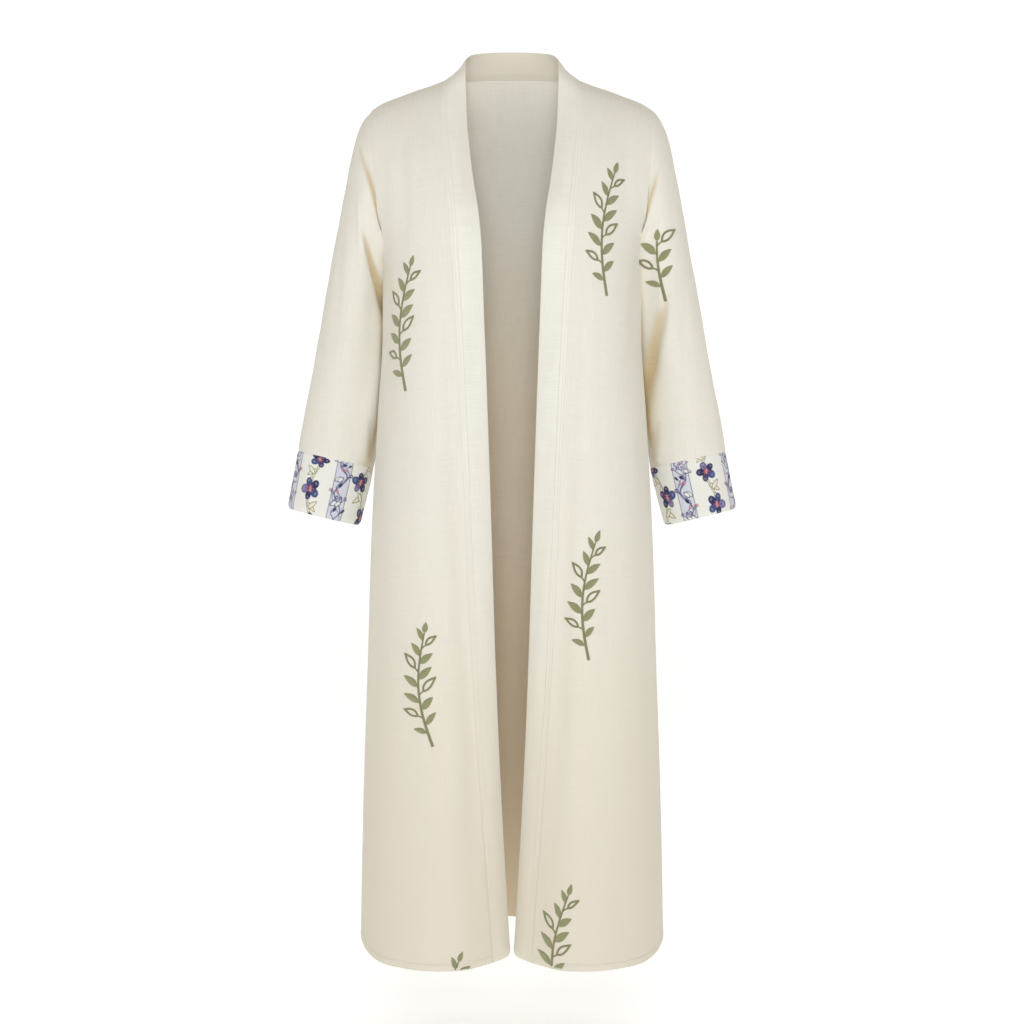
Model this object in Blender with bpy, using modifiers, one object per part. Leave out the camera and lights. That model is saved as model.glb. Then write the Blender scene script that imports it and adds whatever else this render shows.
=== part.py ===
"""A kimono abaya: a long open-fronted robe, filled out as if worn, with no wearer in it.

Metres, +Z up, the front faces -Y and the wearer's left is +X. The origin is where the
wearer's shoulders hold the robe: level with the top of the shoulders, on the shoulder seams.
Each piece that a maker would cut is one thin wall, made from its seams and its sections.
"""
import bpy
import numpy as np

# Driving sizes
COLLECTION = "kimono_abaya"
BODY_LENGTH = 1.339
NECK_SIDE_X = 0.104
NECK_SIDE_Z = -0.0088
NECK_BACK_Y = 0.075
NECK_BACK_RISE = 0.0208
NECK_FADE = 0.25
NECK_BLEND = 0.060
NAPE_WIDTH = 0.085
NAPE_POWER = 3
SHOULDER_X = 0.2155
SHOULDER_Z = -0.050
UNDERARM_X = 0.2025
UNDERARM_DROP = 0.222
ARMHOLE_HALF_DEPTH = 0.062
BAND_WIDTH = 0.0465
BAND_CROWN = 0.0015
COLLAR_SIDE_X = 0.0720
COLLAR_SIDE_Y = 0.008
COLLAR_BACK_Y = 0.069
COLLAR_TOP_Z = 0.0585
COLLAR_SAG = 0.018
COLLAR_DIP = 0.0157
COLLAR_DIP_POWER = 24
COLLAR_HOLLOW = 0.0016
COLLAR_HOLLOW_DROP = 0.10
ROLL_REACH = 0.080
CLOTH_WALL = 0.0015
DOUBLE_WALL = 0.0020
SEAM_GAP = 0.0003
SEAM_STRIP = 0.0020
SHOULDER_STRIP_DROP = 0.00004
NECK_CORNER_GAP = 0.0016

# How square the body's sections are, across the front and back and round to the side seam, and
# how much each of the two grows down to the hem
ACROSS_POWER = 5.0
SIDE_POWER = 0.8
HEM_ACROSS_POWER = 1.3
HEM_SIDE_POWER = 0.1
EDGE_POWER = 14.0

# Shares of a panel's width over which its folds fade out, at the side seam and at the band seam
SIDE_FADE = 0.12
BAND_FADE = 0.03

# The body by its drop below the shoulder seam. side: half width at the side seam, front and
# back: depth of the panels, seam: the band seam's half width, edge: half width of the opening,
# rise: how far the band's free edge lies above its seam, roll: how far the front turns in,
# reach: the half width at which the section would close.
BODY = {
    "drop":  (0.000, 0.026, 0.056, 0.092, 0.130, 0.180, 0.222, 0.280, 0.360, 0.500, 0.700, 0.900, 1.100, 1.339),
    "side":  (0.215, 0.215, 0.213, 0.210, 0.207, 0.205, .2025, .2014, .2013, .2090, .2190, .2246, .2308, .2352),
    "front": (0.000, 0.050, 0.068, 0.084, 0.098, 0.110, 0.118, 0.122, 0.124, 0.124, 0.130, 0.138, 0.147, 0.160),
    "back":  (0.000, 0.051, 0.070, 0.086, 0.099, 0.107, 0.111, 0.113, 0.112, 0.109, 0.113, 0.121, 0.130, 0.140),
    "seam":  (.1040, .1062, .1063, .1045, .1015, .0965, .0925, .0885, .0837, .0764, .0673, .0576, .0447, .0271),
    "edge":  (.0728, .0715, .0700, .0680, .0640, .0572, .0505, .0452, .0423, .0372, .0306, .0245, .0160, .0026),
    "rise":  (.0338, .0270, .0200, .0140, .0095, .0060, .0045, .0030, .0015, .0005, .0000, .0000, .0000, .0000),
    "roll":  (.0000, .0030, .0080, .0130, .0170, .0200, .0220, .0250, .0280, .0340, .0410, .0500, .0600, .0760),
    "reach": (.2850, .2840, .2760, .2600, .2430, .2250, .2140, .2060, .2030, .2090, .2190, .2246, .2308, .2352),
}

# The shoulders' height by the distance from the middle; the seam starts at the neck's side
SHOULDER = {
    "x": (0.000, 0.050, 0.085, NECK_SIDE_X, 0.125, 0.150, 0.170, 0.190, 0.205, SHOULDER_X),
    "z": (0.0100, 0.0060, -0.0015, NECK_SIDE_Z, -0.0170, -0.0252, -0.0325, -0.0394, -0.0450, SHOULDER_Z),
}

# The sleeve by rows from the armhole to the cuff's end. outer and under: the two edges of the
# section, middle: how far back its centre lies, depth: half its size from front to back.
SLEEVE = {
    "outer_x": (SHOULDER_X, .2278, .2391, .2483, .2565, .2647, .2729, .2807, .2884, .2953, .3027, .3099, .3178,
                .3253, .3322, .3379, .3547),
    "outer_z": (SHOULDER_Z, -.0645, -.0865, -.1175, -.1550, -.1928, -.2310, -.2698, -.3090, -.3482, -.3880,
                -.4274, -.4680, -.5065, -.5480, -.5803, -.6700),
    "under_x": (UNDERARM_X, .2034, .2036, .2034, .2025, .2010, .1996, .1988, .1990, .1998, .2010, .2030, .2060,
                .2100, .2156, .2189, .2405),
    "under_z": (-.2637, -.2700, -.2770, -.2850, -.2950, -.3080, -.3250, -.3480, -.3760, -.4050, -.4360, -.4680,
                -.5020, -.5360, -.5740, -.6067, -.6972),
    "middle":  (.0000, .0040, .0070, .0120, .0190, .0270, .0340, .0400, .0450, .0480, .0500, .0500, .0500,
                .0495, .0485, .0480, .0450),
    "depth":   (.0620, .0640, .0655, .0665, .0675, .0685, .0690, .0690, .0685, .0675, .0660, .0640, .0612,
                .0580, .0548, .0525, .0480),
}
CUFF_ROW = 15
CUFF_END_ROW = 16

# Broad folds in the panels. across: share of the way from the band seam (or from the middle of
# the back) to the side, width: half width as such a share, height: out of the panel where
# positive, top and foot: the drops between which the fold grows to its full height.
FRONT_FOLDS = {
    "left": (
        ("across", "width", "height", "top", "foot"),
        (0.09, 0.07, -0.0030, 0.20, 0.75),
        (0.42, 0.13, 0.0030, 0.30, 1.30),
        (0.66, 0.09, -0.0025, 0.45, 1.30),
    ),
    "right": (
        ("across", "width", "height", "top", "foot"),
        (0.09, 0.07, -0.0032, 0.20, 0.75),
        (0.40, 0.13, 0.0030, 0.32, 1.30),
        (0.67, 0.09, -0.0027, 0.44, 1.30),
    ),
}
BACK_FOLDS = (
    ("across", "width", "height", "top", "foot"),
    (-0.78, 0.10, 0.0060, 0.35, 1.30),
    (-0.50, 0.10, -0.0070, 0.25, 1.30),
    (-0.20, 0.12, 0.0080, 0.20, 1.30),
    (0.14, 0.11, -0.0075, 0.22, 1.30),
    (0.43, 0.12, 0.0080, 0.28, 1.30),
    (0.72, 0.10, -0.0060, 0.35, 1.30),
)

# Folds that run down the sleeve from the armpit. start and end: the sleeve rows they fade out
# at, angle: degrees round from the outer edge towards the front, at the start and at the end.
SLEEVE_FOLDS = (
    ("start", "end", "from_angle", "to_angle", "width", "height"),
    (0.6, 6.0, 98.0, 128.0, 15.0, -0.0090),
    (3.0, 14.0, 125.0, 142.0, 18.0, -0.0080),
    (1.0, 10.0, 236.0, 226.0, 18.0, -0.0070),
)

# Where the meshes have their rows and columns
ARMHOLE_STEPS = 9
LOWER_DROPS = (0.250, 0.285, 0.325, 0.375, 0.440, 0.520, 0.610, 0.700, 0.790, 0.880, 0.970, 1.060, 1.150, 1.245)
FRONT_SHARES = (0.0, 0.05, 0.11, 0.19, 0.28, 0.38, 0.49, 0.60, 0.71, 0.82, 0.92)
NECK_ANGLES = (16.0, 32.0, 47.0, 61.0, 73.0, 83.0)
CENTRE_STRIP_ANGLE = 1.5
BAND_SHARES = (0.0, 0.33, 0.67, 1.0)
TANGENT_STEP = 0.01

# Heights round the armhole, from -1 at the underarm to 1 at the shoulder, between which the
# sleeve's first strip turns from its own line to the line of the panels
STRIP_LEAN = (-0.2, 0.4)

# Finishes: base colour (linear), roughness
LINEN = ((0.78, 0.74, 0.63, 1.0), 0.85)
LINEN_BAND = ((0.82, 0.77, 0.66, 1.0), 0.82)
PRINTED_COTTON = ((0.62, 0.62, 0.72, 1.0), 0.75)


def clear_scene():
    for thing in list(bpy.data.objects):
        bpy.data.objects.remove(thing, do_unlink=True)


def smooth(keys, values, at):
    """Values between a short table's rows, on a smooth curve that never overshoots them."""
    keys = np.asarray(keys, dtype=float)
    values = np.asarray(values, dtype=float)
    steps = np.diff(keys)
    rises = np.diff(values) / steps
    together = rises[:-1] * rises[1:]
    sums = rises[:-1] + rises[1:]
    inner = np.where(together > 0, 2 * together / np.where(sums == 0, 1, sums), 0)
    slopes = np.concatenate(([rises[0]], inner, [rises[-1]]))
    at = np.clip(at, keys[0], keys[-1])
    row = np.clip(np.searchsorted(keys, at, side="right") - 1, 0, len(steps) - 1)
    t = (at - keys[row]) / steps[row]
    start = values[row] * (1 + 2 * t) + slopes[row] * steps[row] * t
    end = values[row + 1] * (3 - 2 * t) - slopes[row + 1] * steps[row] * (1 - t)
    return start * (1 - t) ** 2 + end * t ** 2


def ease(value):
    """Smooth step from 0 to 1."""
    t = np.clip(value, 0, 1)
    return t * t * (3 - 2 * t)


def body(name, drop):
    """One column of the body's table. Cloth rolls over the shoulder as a circle does, so its
    depth follows the square root of the drop."""
    return smooth(np.sqrt(BODY["drop"]), BODY[name], np.sqrt(np.maximum(drop, 0)))


def fold_height(table, across, drop):
    """Sum of the folds of one panel, faded out at its side seams."""
    total = 0.0
    for centre, width, height, top, foot in table[1:]:
        shape = np.exp(-((across - centre) / width) ** 2)
        total = total + height * shape * ease((drop - top) / (foot - top))
    return total


def outer_edge(drop):
    """Half width and depth of a panel's outer edge: the armhole, then the side seam."""
    turn = np.arccos(np.clip(1 - 2 * drop / UNDERARM_DROP, -1, 1))
    armhole_x = SHOULDER_X + (UNDERARM_X - SHOULDER_X) * drop / UNDERARM_DROP
    x = np.where(drop < UNDERARM_DROP, armhole_x, body("side", np.maximum(drop, UNDERARM_DROP)))
    return x, ARMHOLE_HALF_DEPTH * np.sin(turn)


def section(x, drop, side):
    """Depth of the body's section at a distance from the middle. Close to its outer edge it is
    drawn to the armhole or to the side seam."""
    edge_x, edge_depth = outer_edge(drop)
    reach = np.maximum(body("reach", drop), edge_x)
    across_power = ACROSS_POWER + HEM_ACROSS_POWER * drop / BODY_LENGTH
    side_power = SIDE_POWER + HEM_SIDE_POWER * drop / BODY_LENGTH

    def free(distance):
        inside = np.clip(1 - (distance / reach) ** across_power, 0, 1)
        return body(side, drop) * inside ** side_power

    nearness = np.clip(np.abs(x) / edge_x, 0, 1) ** EDGE_POWER
    return free(np.abs(x)) + (edge_depth - free(edge_x)) * nearness


def height(top, drop):
    """Height of a point that hangs below a seam point; the hem is level."""
    return top * (1 - drop / BODY_LENGTH) - drop


def front_points(share, drop, hand):
    """The left front: share 0 is the band seam, 1 the armhole or the side seam."""
    seam = body("seam", drop)
    edge_x, _ = outer_edge(drop)
    x = seam + (edge_x - seam) * share
    inward = np.clip(1 - (x - body("edge", drop)) / ROLL_REACH, 0, 1)
    y = body("roll", drop) * inward ** 2 - section(x, drop, "front")
    fade = ease((1 - share) / SIDE_FADE) * ease(share / BAND_FADE)
    y = y - fold_height(FRONT_FOLDS[hand], share, drop) * fade
    top = smooth(SHOULDER["x"], SHOULDER["z"], NECK_SIDE_X + (SHOULDER_X - NECK_SIDE_X) * share)
    return np.stack(np.broadcast_arrays(x, y, height(top, drop)), axis=-1)


def neck_seam(angle):
    """The back half of the neck seam, by its angle from the centre back."""
    x = NECK_SIDE_X * np.sin(angle)
    y = NECK_BACK_Y * np.cos(angle)
    return np.stack((x, y, NECK_SIDE_Z + NECK_BACK_RISE * np.cos(angle)), axis=-1)


def back_points(share, drop):
    """The back: share -1 and 1 are its side edges, 0 its middle."""
    edge_x, _ = outer_edge(drop)
    x = share * edge_x
    start = np.abs(share) * SHOULDER_X
    turn = np.arcsin(np.clip(start / NECK_SIDE_X, 0, 1))
    neck = neck_seam(turn)
    below = ease(drop / NECK_BLEND)
    nape = NECK_BACK_Y * np.exp(-(start / NAPE_WIDTH) ** 2)
    neck_depth = neck[..., 1] * (1 - below) + nape * below
    neck_depth = neck_depth * np.clip(1 - drop / NECK_FADE, 0, 1)
    y = (neck_depth ** NAPE_POWER + section(x, drop, "back") ** NAPE_POWER) ** (1 / NAPE_POWER)
    fade = ease((1 - np.abs(share)) / SIDE_FADE)
    y = y + fold_height(BACK_FOLDS, share, drop) * fade
    yoke = smooth(SHOULDER["x"], SHOULDER["z"], start)
    seam = np.where(start < NECK_SIDE_X, neck[..., 2], yoke)
    top = seam * (1 - below) + yoke * below
    return np.stack(np.broadcast_arrays(x, y, height(top, drop)), axis=-1)


def body_drops():
    """Rows of the panels: level with the armhole's points, then down to the hem. The second row
    lies a seam strip away from the shoulder seam."""
    turns = np.radians(np.linspace(0, 180, ARMHOLE_STEPS + 1))
    armhole = UNDERARM_DROP / 2 * (1 - np.cos(turns))
    return np.concatenate(([0, SHOULDER_STRIP_DROP], armhole[1:], LOWER_DROPS, [BODY_LENGTH]))


def with_side_strip(grid, drops, side):
    """Adds the columns at a panel's outer edge: a narrow strip that meets the other panel
    square on at the side seam, and the seam itself."""
    edge_x, edge_depth = outer_edge(drops)
    edge_z = height(SHOULDER_Z, drops)
    edge = np.stack((edge_x, side * edge_depth, edge_z), axis=-1)
    straight = edge + np.array((0, side * SEAM_STRIP, 0))
    inward = grid[:, -1] - edge
    inward /= np.linalg.norm(inward, axis=1, keepdims=True)
    at_armhole = (drops < UNDERARM_DROP - SEAM_STRIP)[:, None]
    strip = np.where(at_armhole, edge + inward * SEAM_STRIP, straight)
    return np.concatenate((grid, strip[:, None], edge[:, None]), axis=1)


def trim(points, first_row=False, first_column=False, last_column=False, last_row=False):
    """Draws the named edges of a grid back from their seams, along the cloth."""
    points = points.copy()

    def pull(edge, neighbour):
        along = neighbour - edge
        return edge + along / np.linalg.norm(along, axis=-1, keepdims=True) * SEAM_GAP / 2

    if first_row:
        points[0] = pull(points[0], points[1])
    if last_row:
        points[-1] = pull(points[-1], points[-2])
    if first_column:
        points[:, 0] = pull(points[:, 0], points[:, 1])
    if last_column:
        points[:, -1] = pull(points[:, -1], points[:, -2])
    return points


def mirrored(points):
    """The same grid on the wearer's right."""
    return points * np.array((-1.0, 1.0, 1.0))


def finish_for(name, finish):
    colour, roughness = finish
    material = bpy.data.materials.new(name)
    material.use_nodes = True
    shader = material.node_tree.nodes["Principled BSDF"]
    shader.inputs["Base Color"].default_value = colour
    shader.inputs["Roughness"].default_value = roughness
    shader.inputs["Metallic"].default_value = 0.0
    return material


def cloth_piece(name, points, wall, finish, tube=False, turned=False):
    """One cut piece: a grid of its outer face, thickened inwards."""
    rows, columns = points.shape[:2]
    spans = columns if tube else columns - 1
    faces = []
    for row in range(rows - 1):
        for column in range(spans):
            beside = (column + 1) % columns
            upper, lower = row * columns, (row + 1) * columns
            face = (upper + column, lower + column, lower + beside, upper + beside)
            faces.append(face[::-1] if turned else face)
    mesh = bpy.data.meshes.new(name)
    mesh.from_pydata(points.reshape(-1, 3).tolist(), [], faces)
    mesh.shade_smooth()
    mesh.materials.append(finish_for(name, finish))
    piece = bpy.data.objects.new(name, mesh)
    bpy.data.collections[COLLECTION].objects.link(piece)
    thickness = piece.modifiers.new("wall", "SOLIDIFY")
    thickness.thickness = wall
    thickness.offset = -1.0
    return piece


def front_grid(hand):
    """A front panel's points, drawn back from the band, the shoulder, the armhole and the side."""
    drops = body_drops()
    grid = front_points(np.array(FRONT_SHARES)[None, :], drops[:, None], hand)
    grid = with_side_strip(grid, drops, -1)
    grid = trim(grid, first_column=True, last_column=True)
    grid[0, :, 1] -= SEAM_GAP / 2
    return grid


def back_grid():
    """The back's points, drawn back from the neck, the shoulders, the armholes and the sides."""
    drops = body_drops()
    neck_share = NECK_SIDE_X / SHOULDER_X
    outer = neck_share + (1 - neck_share) * np.array(FRONT_SHARES[::2])
    neck = neck_share * np.sin(np.radians(NECK_ANGLES))
    middle = np.concatenate((-neck[::-1], [0.0], neck))
    shares = np.concatenate((-outer[::-1], middle, outer))
    at_neck = np.isin(shares, middle)
    row_drops = np.repeat(drops[:, None], len(shares), axis=1)
    row_drops[1] = np.where(at_neck, SEAM_STRIP, row_drops[1])
    grid = back_points(shares[None, :], row_drops)
    grid = with_side_strip(grid, drops, 1)
    grid = mirrored(with_side_strip(mirrored(grid)[:, ::-1], drops, 1))[:, ::-1]
    grid = trim(grid, first_column=True, last_column=True)
    inner = slice(len(outer) + 2, len(outer) + 2 + len(middle))
    grid[:, inner] = trim(grid[:, inner], first_row=True)
    grid[0, :inner.start, 1] += SEAM_GAP / 2
    grid[0, inner.stop:, 1] += SEAM_GAP / 2
    grid[:2, inner.start - 1, 0] -= NECK_CORNER_GAP
    grid[:2, inner.stop, 0] += NECK_CORNER_GAP
    return grid


def band_grid():
    """The left band's points, from the centre back round the neck and down to the hem."""
    turns = np.radians((0.0, CENTRE_STRIP_ANGLE) + NECK_ANGLES)
    back_seam = neck_seam(turns)
    collar_x = COLLAR_SIDE_X * np.sin(turns)
    collar_y = COLLAR_SIDE_Y + (COLLAR_BACK_Y - COLLAR_SIDE_Y) * np.cos(turns)
    dip = COLLAR_DIP * np.sin(turns) ** COLLAR_DIP_POWER
    collar_z = COLLAR_TOP_Z - COLLAR_SAG * np.sin(turns) ** 2 - dip
    back_edge = np.stack((collar_x, collar_y, collar_z), axis=-1)
    drops = np.delete(body_drops(), 1)
    front_seam = front_points(np.zeros_like(drops), drops, "left")
    across = body("seam", drops) - body("edge", drops)
    rise = body("rise", drops)
    inward = np.sqrt(np.maximum(BAND_WIDTH ** 2 - across ** 2 - rise ** 2, 0))
    front_edge = front_seam + np.stack((-across, inward, rise), axis=-1)
    below = back_points(back_seam[:, 0] / SHOULDER_X, np.full_like(turns, SEAM_STRIP))
    beside = front_points(np.full_like(drops, TANGENT_STEP), drops, "left")
    seam = np.concatenate((back_seam, front_seam))
    edge = np.concatenate((back_edge, front_edge))
    onward = seam - np.concatenate((below, beside))
    onward /= np.linalg.norm(onward, axis=1, keepdims=True)
    strip = seam + onward * SEAM_STRIP
    shares = np.array(BAND_SHARES)[None, :, None]
    flat = strip[:, None] * (1 - shares) + edge[:, None] * shares
    down = np.gradient(seam, axis=0)
    outward = np.cross(down, edge - seam)
    outward /= np.linalg.norm(outward, axis=1, keepdims=True)
    below_neck = np.concatenate((np.zeros_like(turns), ease(drops / COLLAR_HOLLOW_DROP)))
    crown = (BAND_CROWN + COLLAR_HOLLOW) * below_neck - COLLAR_HOLLOW
    grid = flat + outward[:, None] * crown[:, None, None] * 4 * shares * (1 - shares)
    grid = np.concatenate((seam[:, None], grid), axis=1)
    grid = trim(grid, first_column=True)
    grid[0, :, 0] = SEAM_GAP / 2
    return grid


def sleeve_points(row, turn):
    """The left sleeve: turn 0 is its outer edge, a quarter turn its front."""
    rows = np.arange(len(SLEEVE["middle"]))
    outer_x, outer_z, under_x, under_z, middle, depth = (
        smooth(rows, SLEEVE[name], row)
        for name in ("outer_x", "outer_z", "under_x", "under_z", "middle", "depth"))
    across_x = (outer_x - under_x) / 2
    across_z = (outer_z - under_z) / 2
    degrees = np.degrees(turn) % 360
    swell = 0.0
    for start, end, from_angle, to_angle, width, rise in SLEEVE_FOLDS[1:]:
        along = (row - start) / (end - start)
        angle = from_angle + (to_angle - from_angle) * np.clip(along, 0, 1)
        fade = np.clip(4 * along * (1 - along), 0, 1)
        swell = swell + rise * fade * np.exp(-((degrees - angle) / width) ** 2)
    size = np.hypot(across_x, across_z)
    radial_x = np.cos(turn) * across_x / size
    radial_z = np.cos(turn) * across_z / size
    x = (outer_x + under_x) / 2 + np.cos(turn) * across_x + swell * radial_x
    y = middle - np.sin(turn) * (depth + swell)
    z = (outer_z + under_z) / 2 + np.cos(turn) * across_z + swell * radial_z
    return np.stack(np.broadcast_arrays(x, y, z), axis=-1)


def sleeve_turns():
    """Columns of the sleeve, level with the panels' rows at the armhole."""
    return np.radians(np.arange(0, 360, 180 / ARMHOLE_STEPS))


def armhole_strip(ring, next_ring):
    """A narrow row beside the armhole. At the top it carries on the line of the panels."""
    turns = sleeve_turns()
    drops = UNDERARM_DROP / 2 * (1 - np.cos(turns))
    share = np.full_like(drops, 1 - TANGENT_STEP)
    front = front_points(share, drops, "left")
    back = back_points(share, drops)
    panel = np.where((np.sin(turns) >= 0)[:, None], front, back)
    onward = ring - panel
    onward /= np.linalg.norm(onward, axis=1, keepdims=True)
    sleeve = next_ring - ring
    sleeve /= np.linalg.norm(sleeve, axis=1, keepdims=True)
    low, high = STRIP_LEAN
    lean = ease((np.cos(turns) - low) / (high - low))[:, None]
    way = onward * lean + sleeve * (1 - lean)
    way /= np.linalg.norm(way, axis=1, keepdims=True)
    return ring + way * SEAM_STRIP


def sleeve_grid():
    """The left sleeve's points, from the armhole to the cuff seam."""
    turns = sleeve_turns()
    rows = np.arange(CUFF_ROW + 1)
    grid = sleeve_points(rows[:, None], turns[None, :])
    strip = armhole_strip(grid[0], grid[1])
    grid = np.concatenate((grid[:1], strip[None], grid[1:]))
    return trim(grid, first_row=True, last_row=True)


def cuff_grid():
    """The left cuff's points, from its seam to its open end."""
    rows = np.linspace(CUFF_ROW, CUFF_END_ROW, 4)
    grid = sleeve_points(rows[:, None], sleeve_turns()[None, :])
    return trim(grid, first_row=True)


def build():
    clear_scene()
    collection = bpy.data.collections.new(COLLECTION)
    bpy.context.scene.collection.children.link(collection)
    cloth_piece("back", back_grid(), CLOTH_WALL, LINEN, turned=True)
    cloth_piece("front_left", front_grid("left"), CLOTH_WALL, LINEN)
    cloth_piece("front_right", mirrored(front_grid("right")), CLOTH_WALL, LINEN, turned=True)
    pairs = (
        ("sleeve", sleeve_grid(), CLOTH_WALL, LINEN, True, True),
        ("cuff", cuff_grid(), DOUBLE_WALL, PRINTED_COTTON, True, True),
        ("band", band_grid(), DOUBLE_WALL, LINEN_BAND, False, True),
    )
    for name, grid, wall, finish, tube, turned in pairs:
        cloth_piece(f"{name}_left", grid, wall, finish, tube=tube, turned=turned)
        cloth_piece(f"{name}_right", mirrored(grid), wall, finish, tube=tube, turned=not turned)


build()
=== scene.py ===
"""Looks of a kimono abaya: cream slubbed linen with embroidered leaf sprays and printed cuffs.

Metres, +Z up, the front faces -Y and the wearer's left is +X. Each cut piece is a thin shell on
the form of its solid, with finer folds, and the thread work lies on the shells.
"""

import bpy
import numpy as np
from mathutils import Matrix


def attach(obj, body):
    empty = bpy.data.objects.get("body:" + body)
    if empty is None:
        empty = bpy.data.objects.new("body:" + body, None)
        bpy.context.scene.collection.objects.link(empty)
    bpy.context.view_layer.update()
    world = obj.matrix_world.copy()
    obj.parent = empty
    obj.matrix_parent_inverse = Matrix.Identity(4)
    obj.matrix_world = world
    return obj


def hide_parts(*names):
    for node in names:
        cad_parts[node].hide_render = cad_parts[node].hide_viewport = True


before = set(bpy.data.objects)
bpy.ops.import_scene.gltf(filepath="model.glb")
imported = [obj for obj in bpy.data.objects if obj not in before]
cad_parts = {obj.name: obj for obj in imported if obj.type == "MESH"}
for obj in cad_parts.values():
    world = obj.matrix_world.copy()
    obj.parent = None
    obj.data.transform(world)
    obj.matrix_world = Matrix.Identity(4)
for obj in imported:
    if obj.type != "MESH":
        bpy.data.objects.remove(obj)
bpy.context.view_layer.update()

# Driving sizes, the same as the solids'
BODY_LENGTH = 1.339
NECK_SIDE_X = 0.104
NECK_SIDE_Z = -0.0088
NECK_BACK_Y = 0.075
NECK_BACK_RISE = 0.0208
NAPE_RISE = 0.0028
NECK_FADE = 0.25
NECK_BLEND = 0.060
NAPE_WIDTH = 0.085
NAPE_POWER = 3
SHOULDER_X = 0.2155
SHOULDER_Z = -0.050
UNDERARM_X = 0.2025
UNDERARM_DROP = 0.222
ARMHOLE_HALF_DEPTH = 0.062
BAND_WIDTH = 0.0465
BAND_CROWN = 0.0015
COLLAR_SIDE_X = 0.0720
COLLAR_SIDE_Y = 0.008
COLLAR_BACK_Y = 0.069
COLLAR_TOP_Z = 0.0563
COLLAR_SAG = 0.0158
COLLAR_SAG_POWER = 2.45
COLLAR_END = (0.0728, 0.0068, 0.0250)
COLLAR_DIP = 0.0157
COLLAR_DIP_POWER = 24
COLLAR_HOLLOW = 0.0014
COLLAR_HOLLOW_DROP = 0.10
NECK_PAINTED_SHADE = 0.19
ROLL_REACH = 0.080
ACROSS_POWER = 5.0
SIDE_POWER = 0.8
HEM_ACROSS_POWER = 1.3
HEM_SIDE_POWER = 0.1
EDGE_POWER = 14.0
SIDE_FADE = 0.12
BAND_FADE = 0.03
SEAM_GAP = 0.0003

# Shells and threads
LINEN_WALL = 0.0011
LOWER_SHADE_STRENGTH = 0.26
BAND_PAINTED_SHADE = 0.85
BAND_WALL = 0.0020
CUFF_WALL = 0.0016
HEM_DEPTH = 0.0105
HEM_STEP = 0.00012
HEM_CORNER = 0.009
HEM_FALL = 0.0018
HEM_FALL_TOP = 1.2
HEM_ZONE = 0.026
HEM_SIDE_TOP = 1.28
HEM_SIDE_RISE = 0.0050
HEM_SIDE_WIDTH = 0.0075
BAND_SINK = 0.55
SEAM_SINK = 0.0006
SEAM_SINK_WIDTH = 0.0026
ARMHOLE_SINK = 0.25
UNDERARM_EASE = 0.036
SLEEVE_PRESS = 0.0030
LINE_SOFT = 0.14
SHOULDER_ROUND = 0.018
SHOULDER_IN = 0.0009
SHOULDER_DOWN = 0.0025
STITCH_PITCH = 0.0034
STITCH_LENGTH = 0.0026
STITCH_WIDTH = 0.00055

# Sections of the body, in millimetres, a column for each drop below the shoulder seam
BODY = {
    "drop":  (0, 26, 56, 92, 130, 180, 222, 280, 360, 500, 700, 900, 1100, 1339),
    "side":  (215, 215, 213, 210, 207, 205, 202.5, 201.4, 201.3, 209, 219, 224.6, 230.8, 235.2),
    "front": (0, 50, 68, 84, 98, 110, 118, 122, 124, 124, 130, 138, 147, 160),
    "back":  (0, 51, 70, 86, 99, 107, 111, 113, 112, 109, 113, 121, 130, 140),
    "seam":  (104, 106.2, 106.3, 104.5, 101.5, 96.5, 92.5, 88.5, 83.7, 76.4, 67.3, 57.6, 44.7, 27.1),
    "edge":  (72.8, 71.5, 70, 68, 64, 57.2, 50.5, 45.2, 42.3, 37.2, 30.6, 24.5, 16, 2.6),
    "rise":  (33.8, 27, 20, 14, 9.5, 6, 4.5, 3, 1.5, 0.5, 0, 0, 0, 0),
    "roll":  (0, 3, 8, 13, 17, 20, 22, 25, 28, 34, 41, 50, 60, 76),
    "reach": (285, 284, 276, 260, 243, 225, 214, 206, 203, 209, 219, 224.6, 230.8, 235.2),
}
BODY = {name: np.array(values) / 1000 for name, values in BODY.items()}
SHOULDER = {
    "x": (0.000, 0.050, 0.085, NECK_SIDE_X, 0.125, 0.150, 0.170, 0.190, 0.205, SHOULDER_X),
    "z": (0.0100, 0.0060, -0.0015, NECK_SIDE_Z, -0.0170, -0.0252, -0.0325, -0.0394, -0.0450, SHOULDER_Z),
}
SLEEVE = {
    "outer_x": (SHOULDER_X, .2278, .2391, .2483, .2565, .2647, .2729, .2807, .2884, .2953, .3027, .3099,
                .3178, .3253, .3322, .3379, .3547),
    "outer_z": (SHOULDER_Z, -.0645, -.0865, -.1175, -.1550, -.1928, -.2310, -.2698, -.3090, -.3482, -.3880,
                -.4274, -.4680, -.5065, -.5480, -.5803, -.6700),
    "under_x": (UNDERARM_X, .2034, .2036, .2034, .2025, .2010, .1996, .1988, .1990, .1998, .2010, .2030,
                .2060, .2100, .2156, .2189, .2405),
    "under_z": (-.2637, -.2700, -.2770, -.2850, -.2950, -.3080, -.3250, -.3480, -.3760, -.4050, -.4360,
                -.4680, -.5020, -.5360, -.5740, -.6067, -.6972),
    "middle":  (.0000, .0040, .0070, .0120, .0190, .0270, .0340, .0400, .0450, .0480, .0500, .0500, .0500,
                .0495, .0485, .0480, .0450),
    "depth":   (.0620, .0640, .0655, .0665, .0675, .0685, .0690, .0690, .0685, .0675, .0660, .0640, .0612,
                .0580, .0548, .0525, .0480),
}
CUFF_ROW = 15
CUFF_END_ROW = 16

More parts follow.
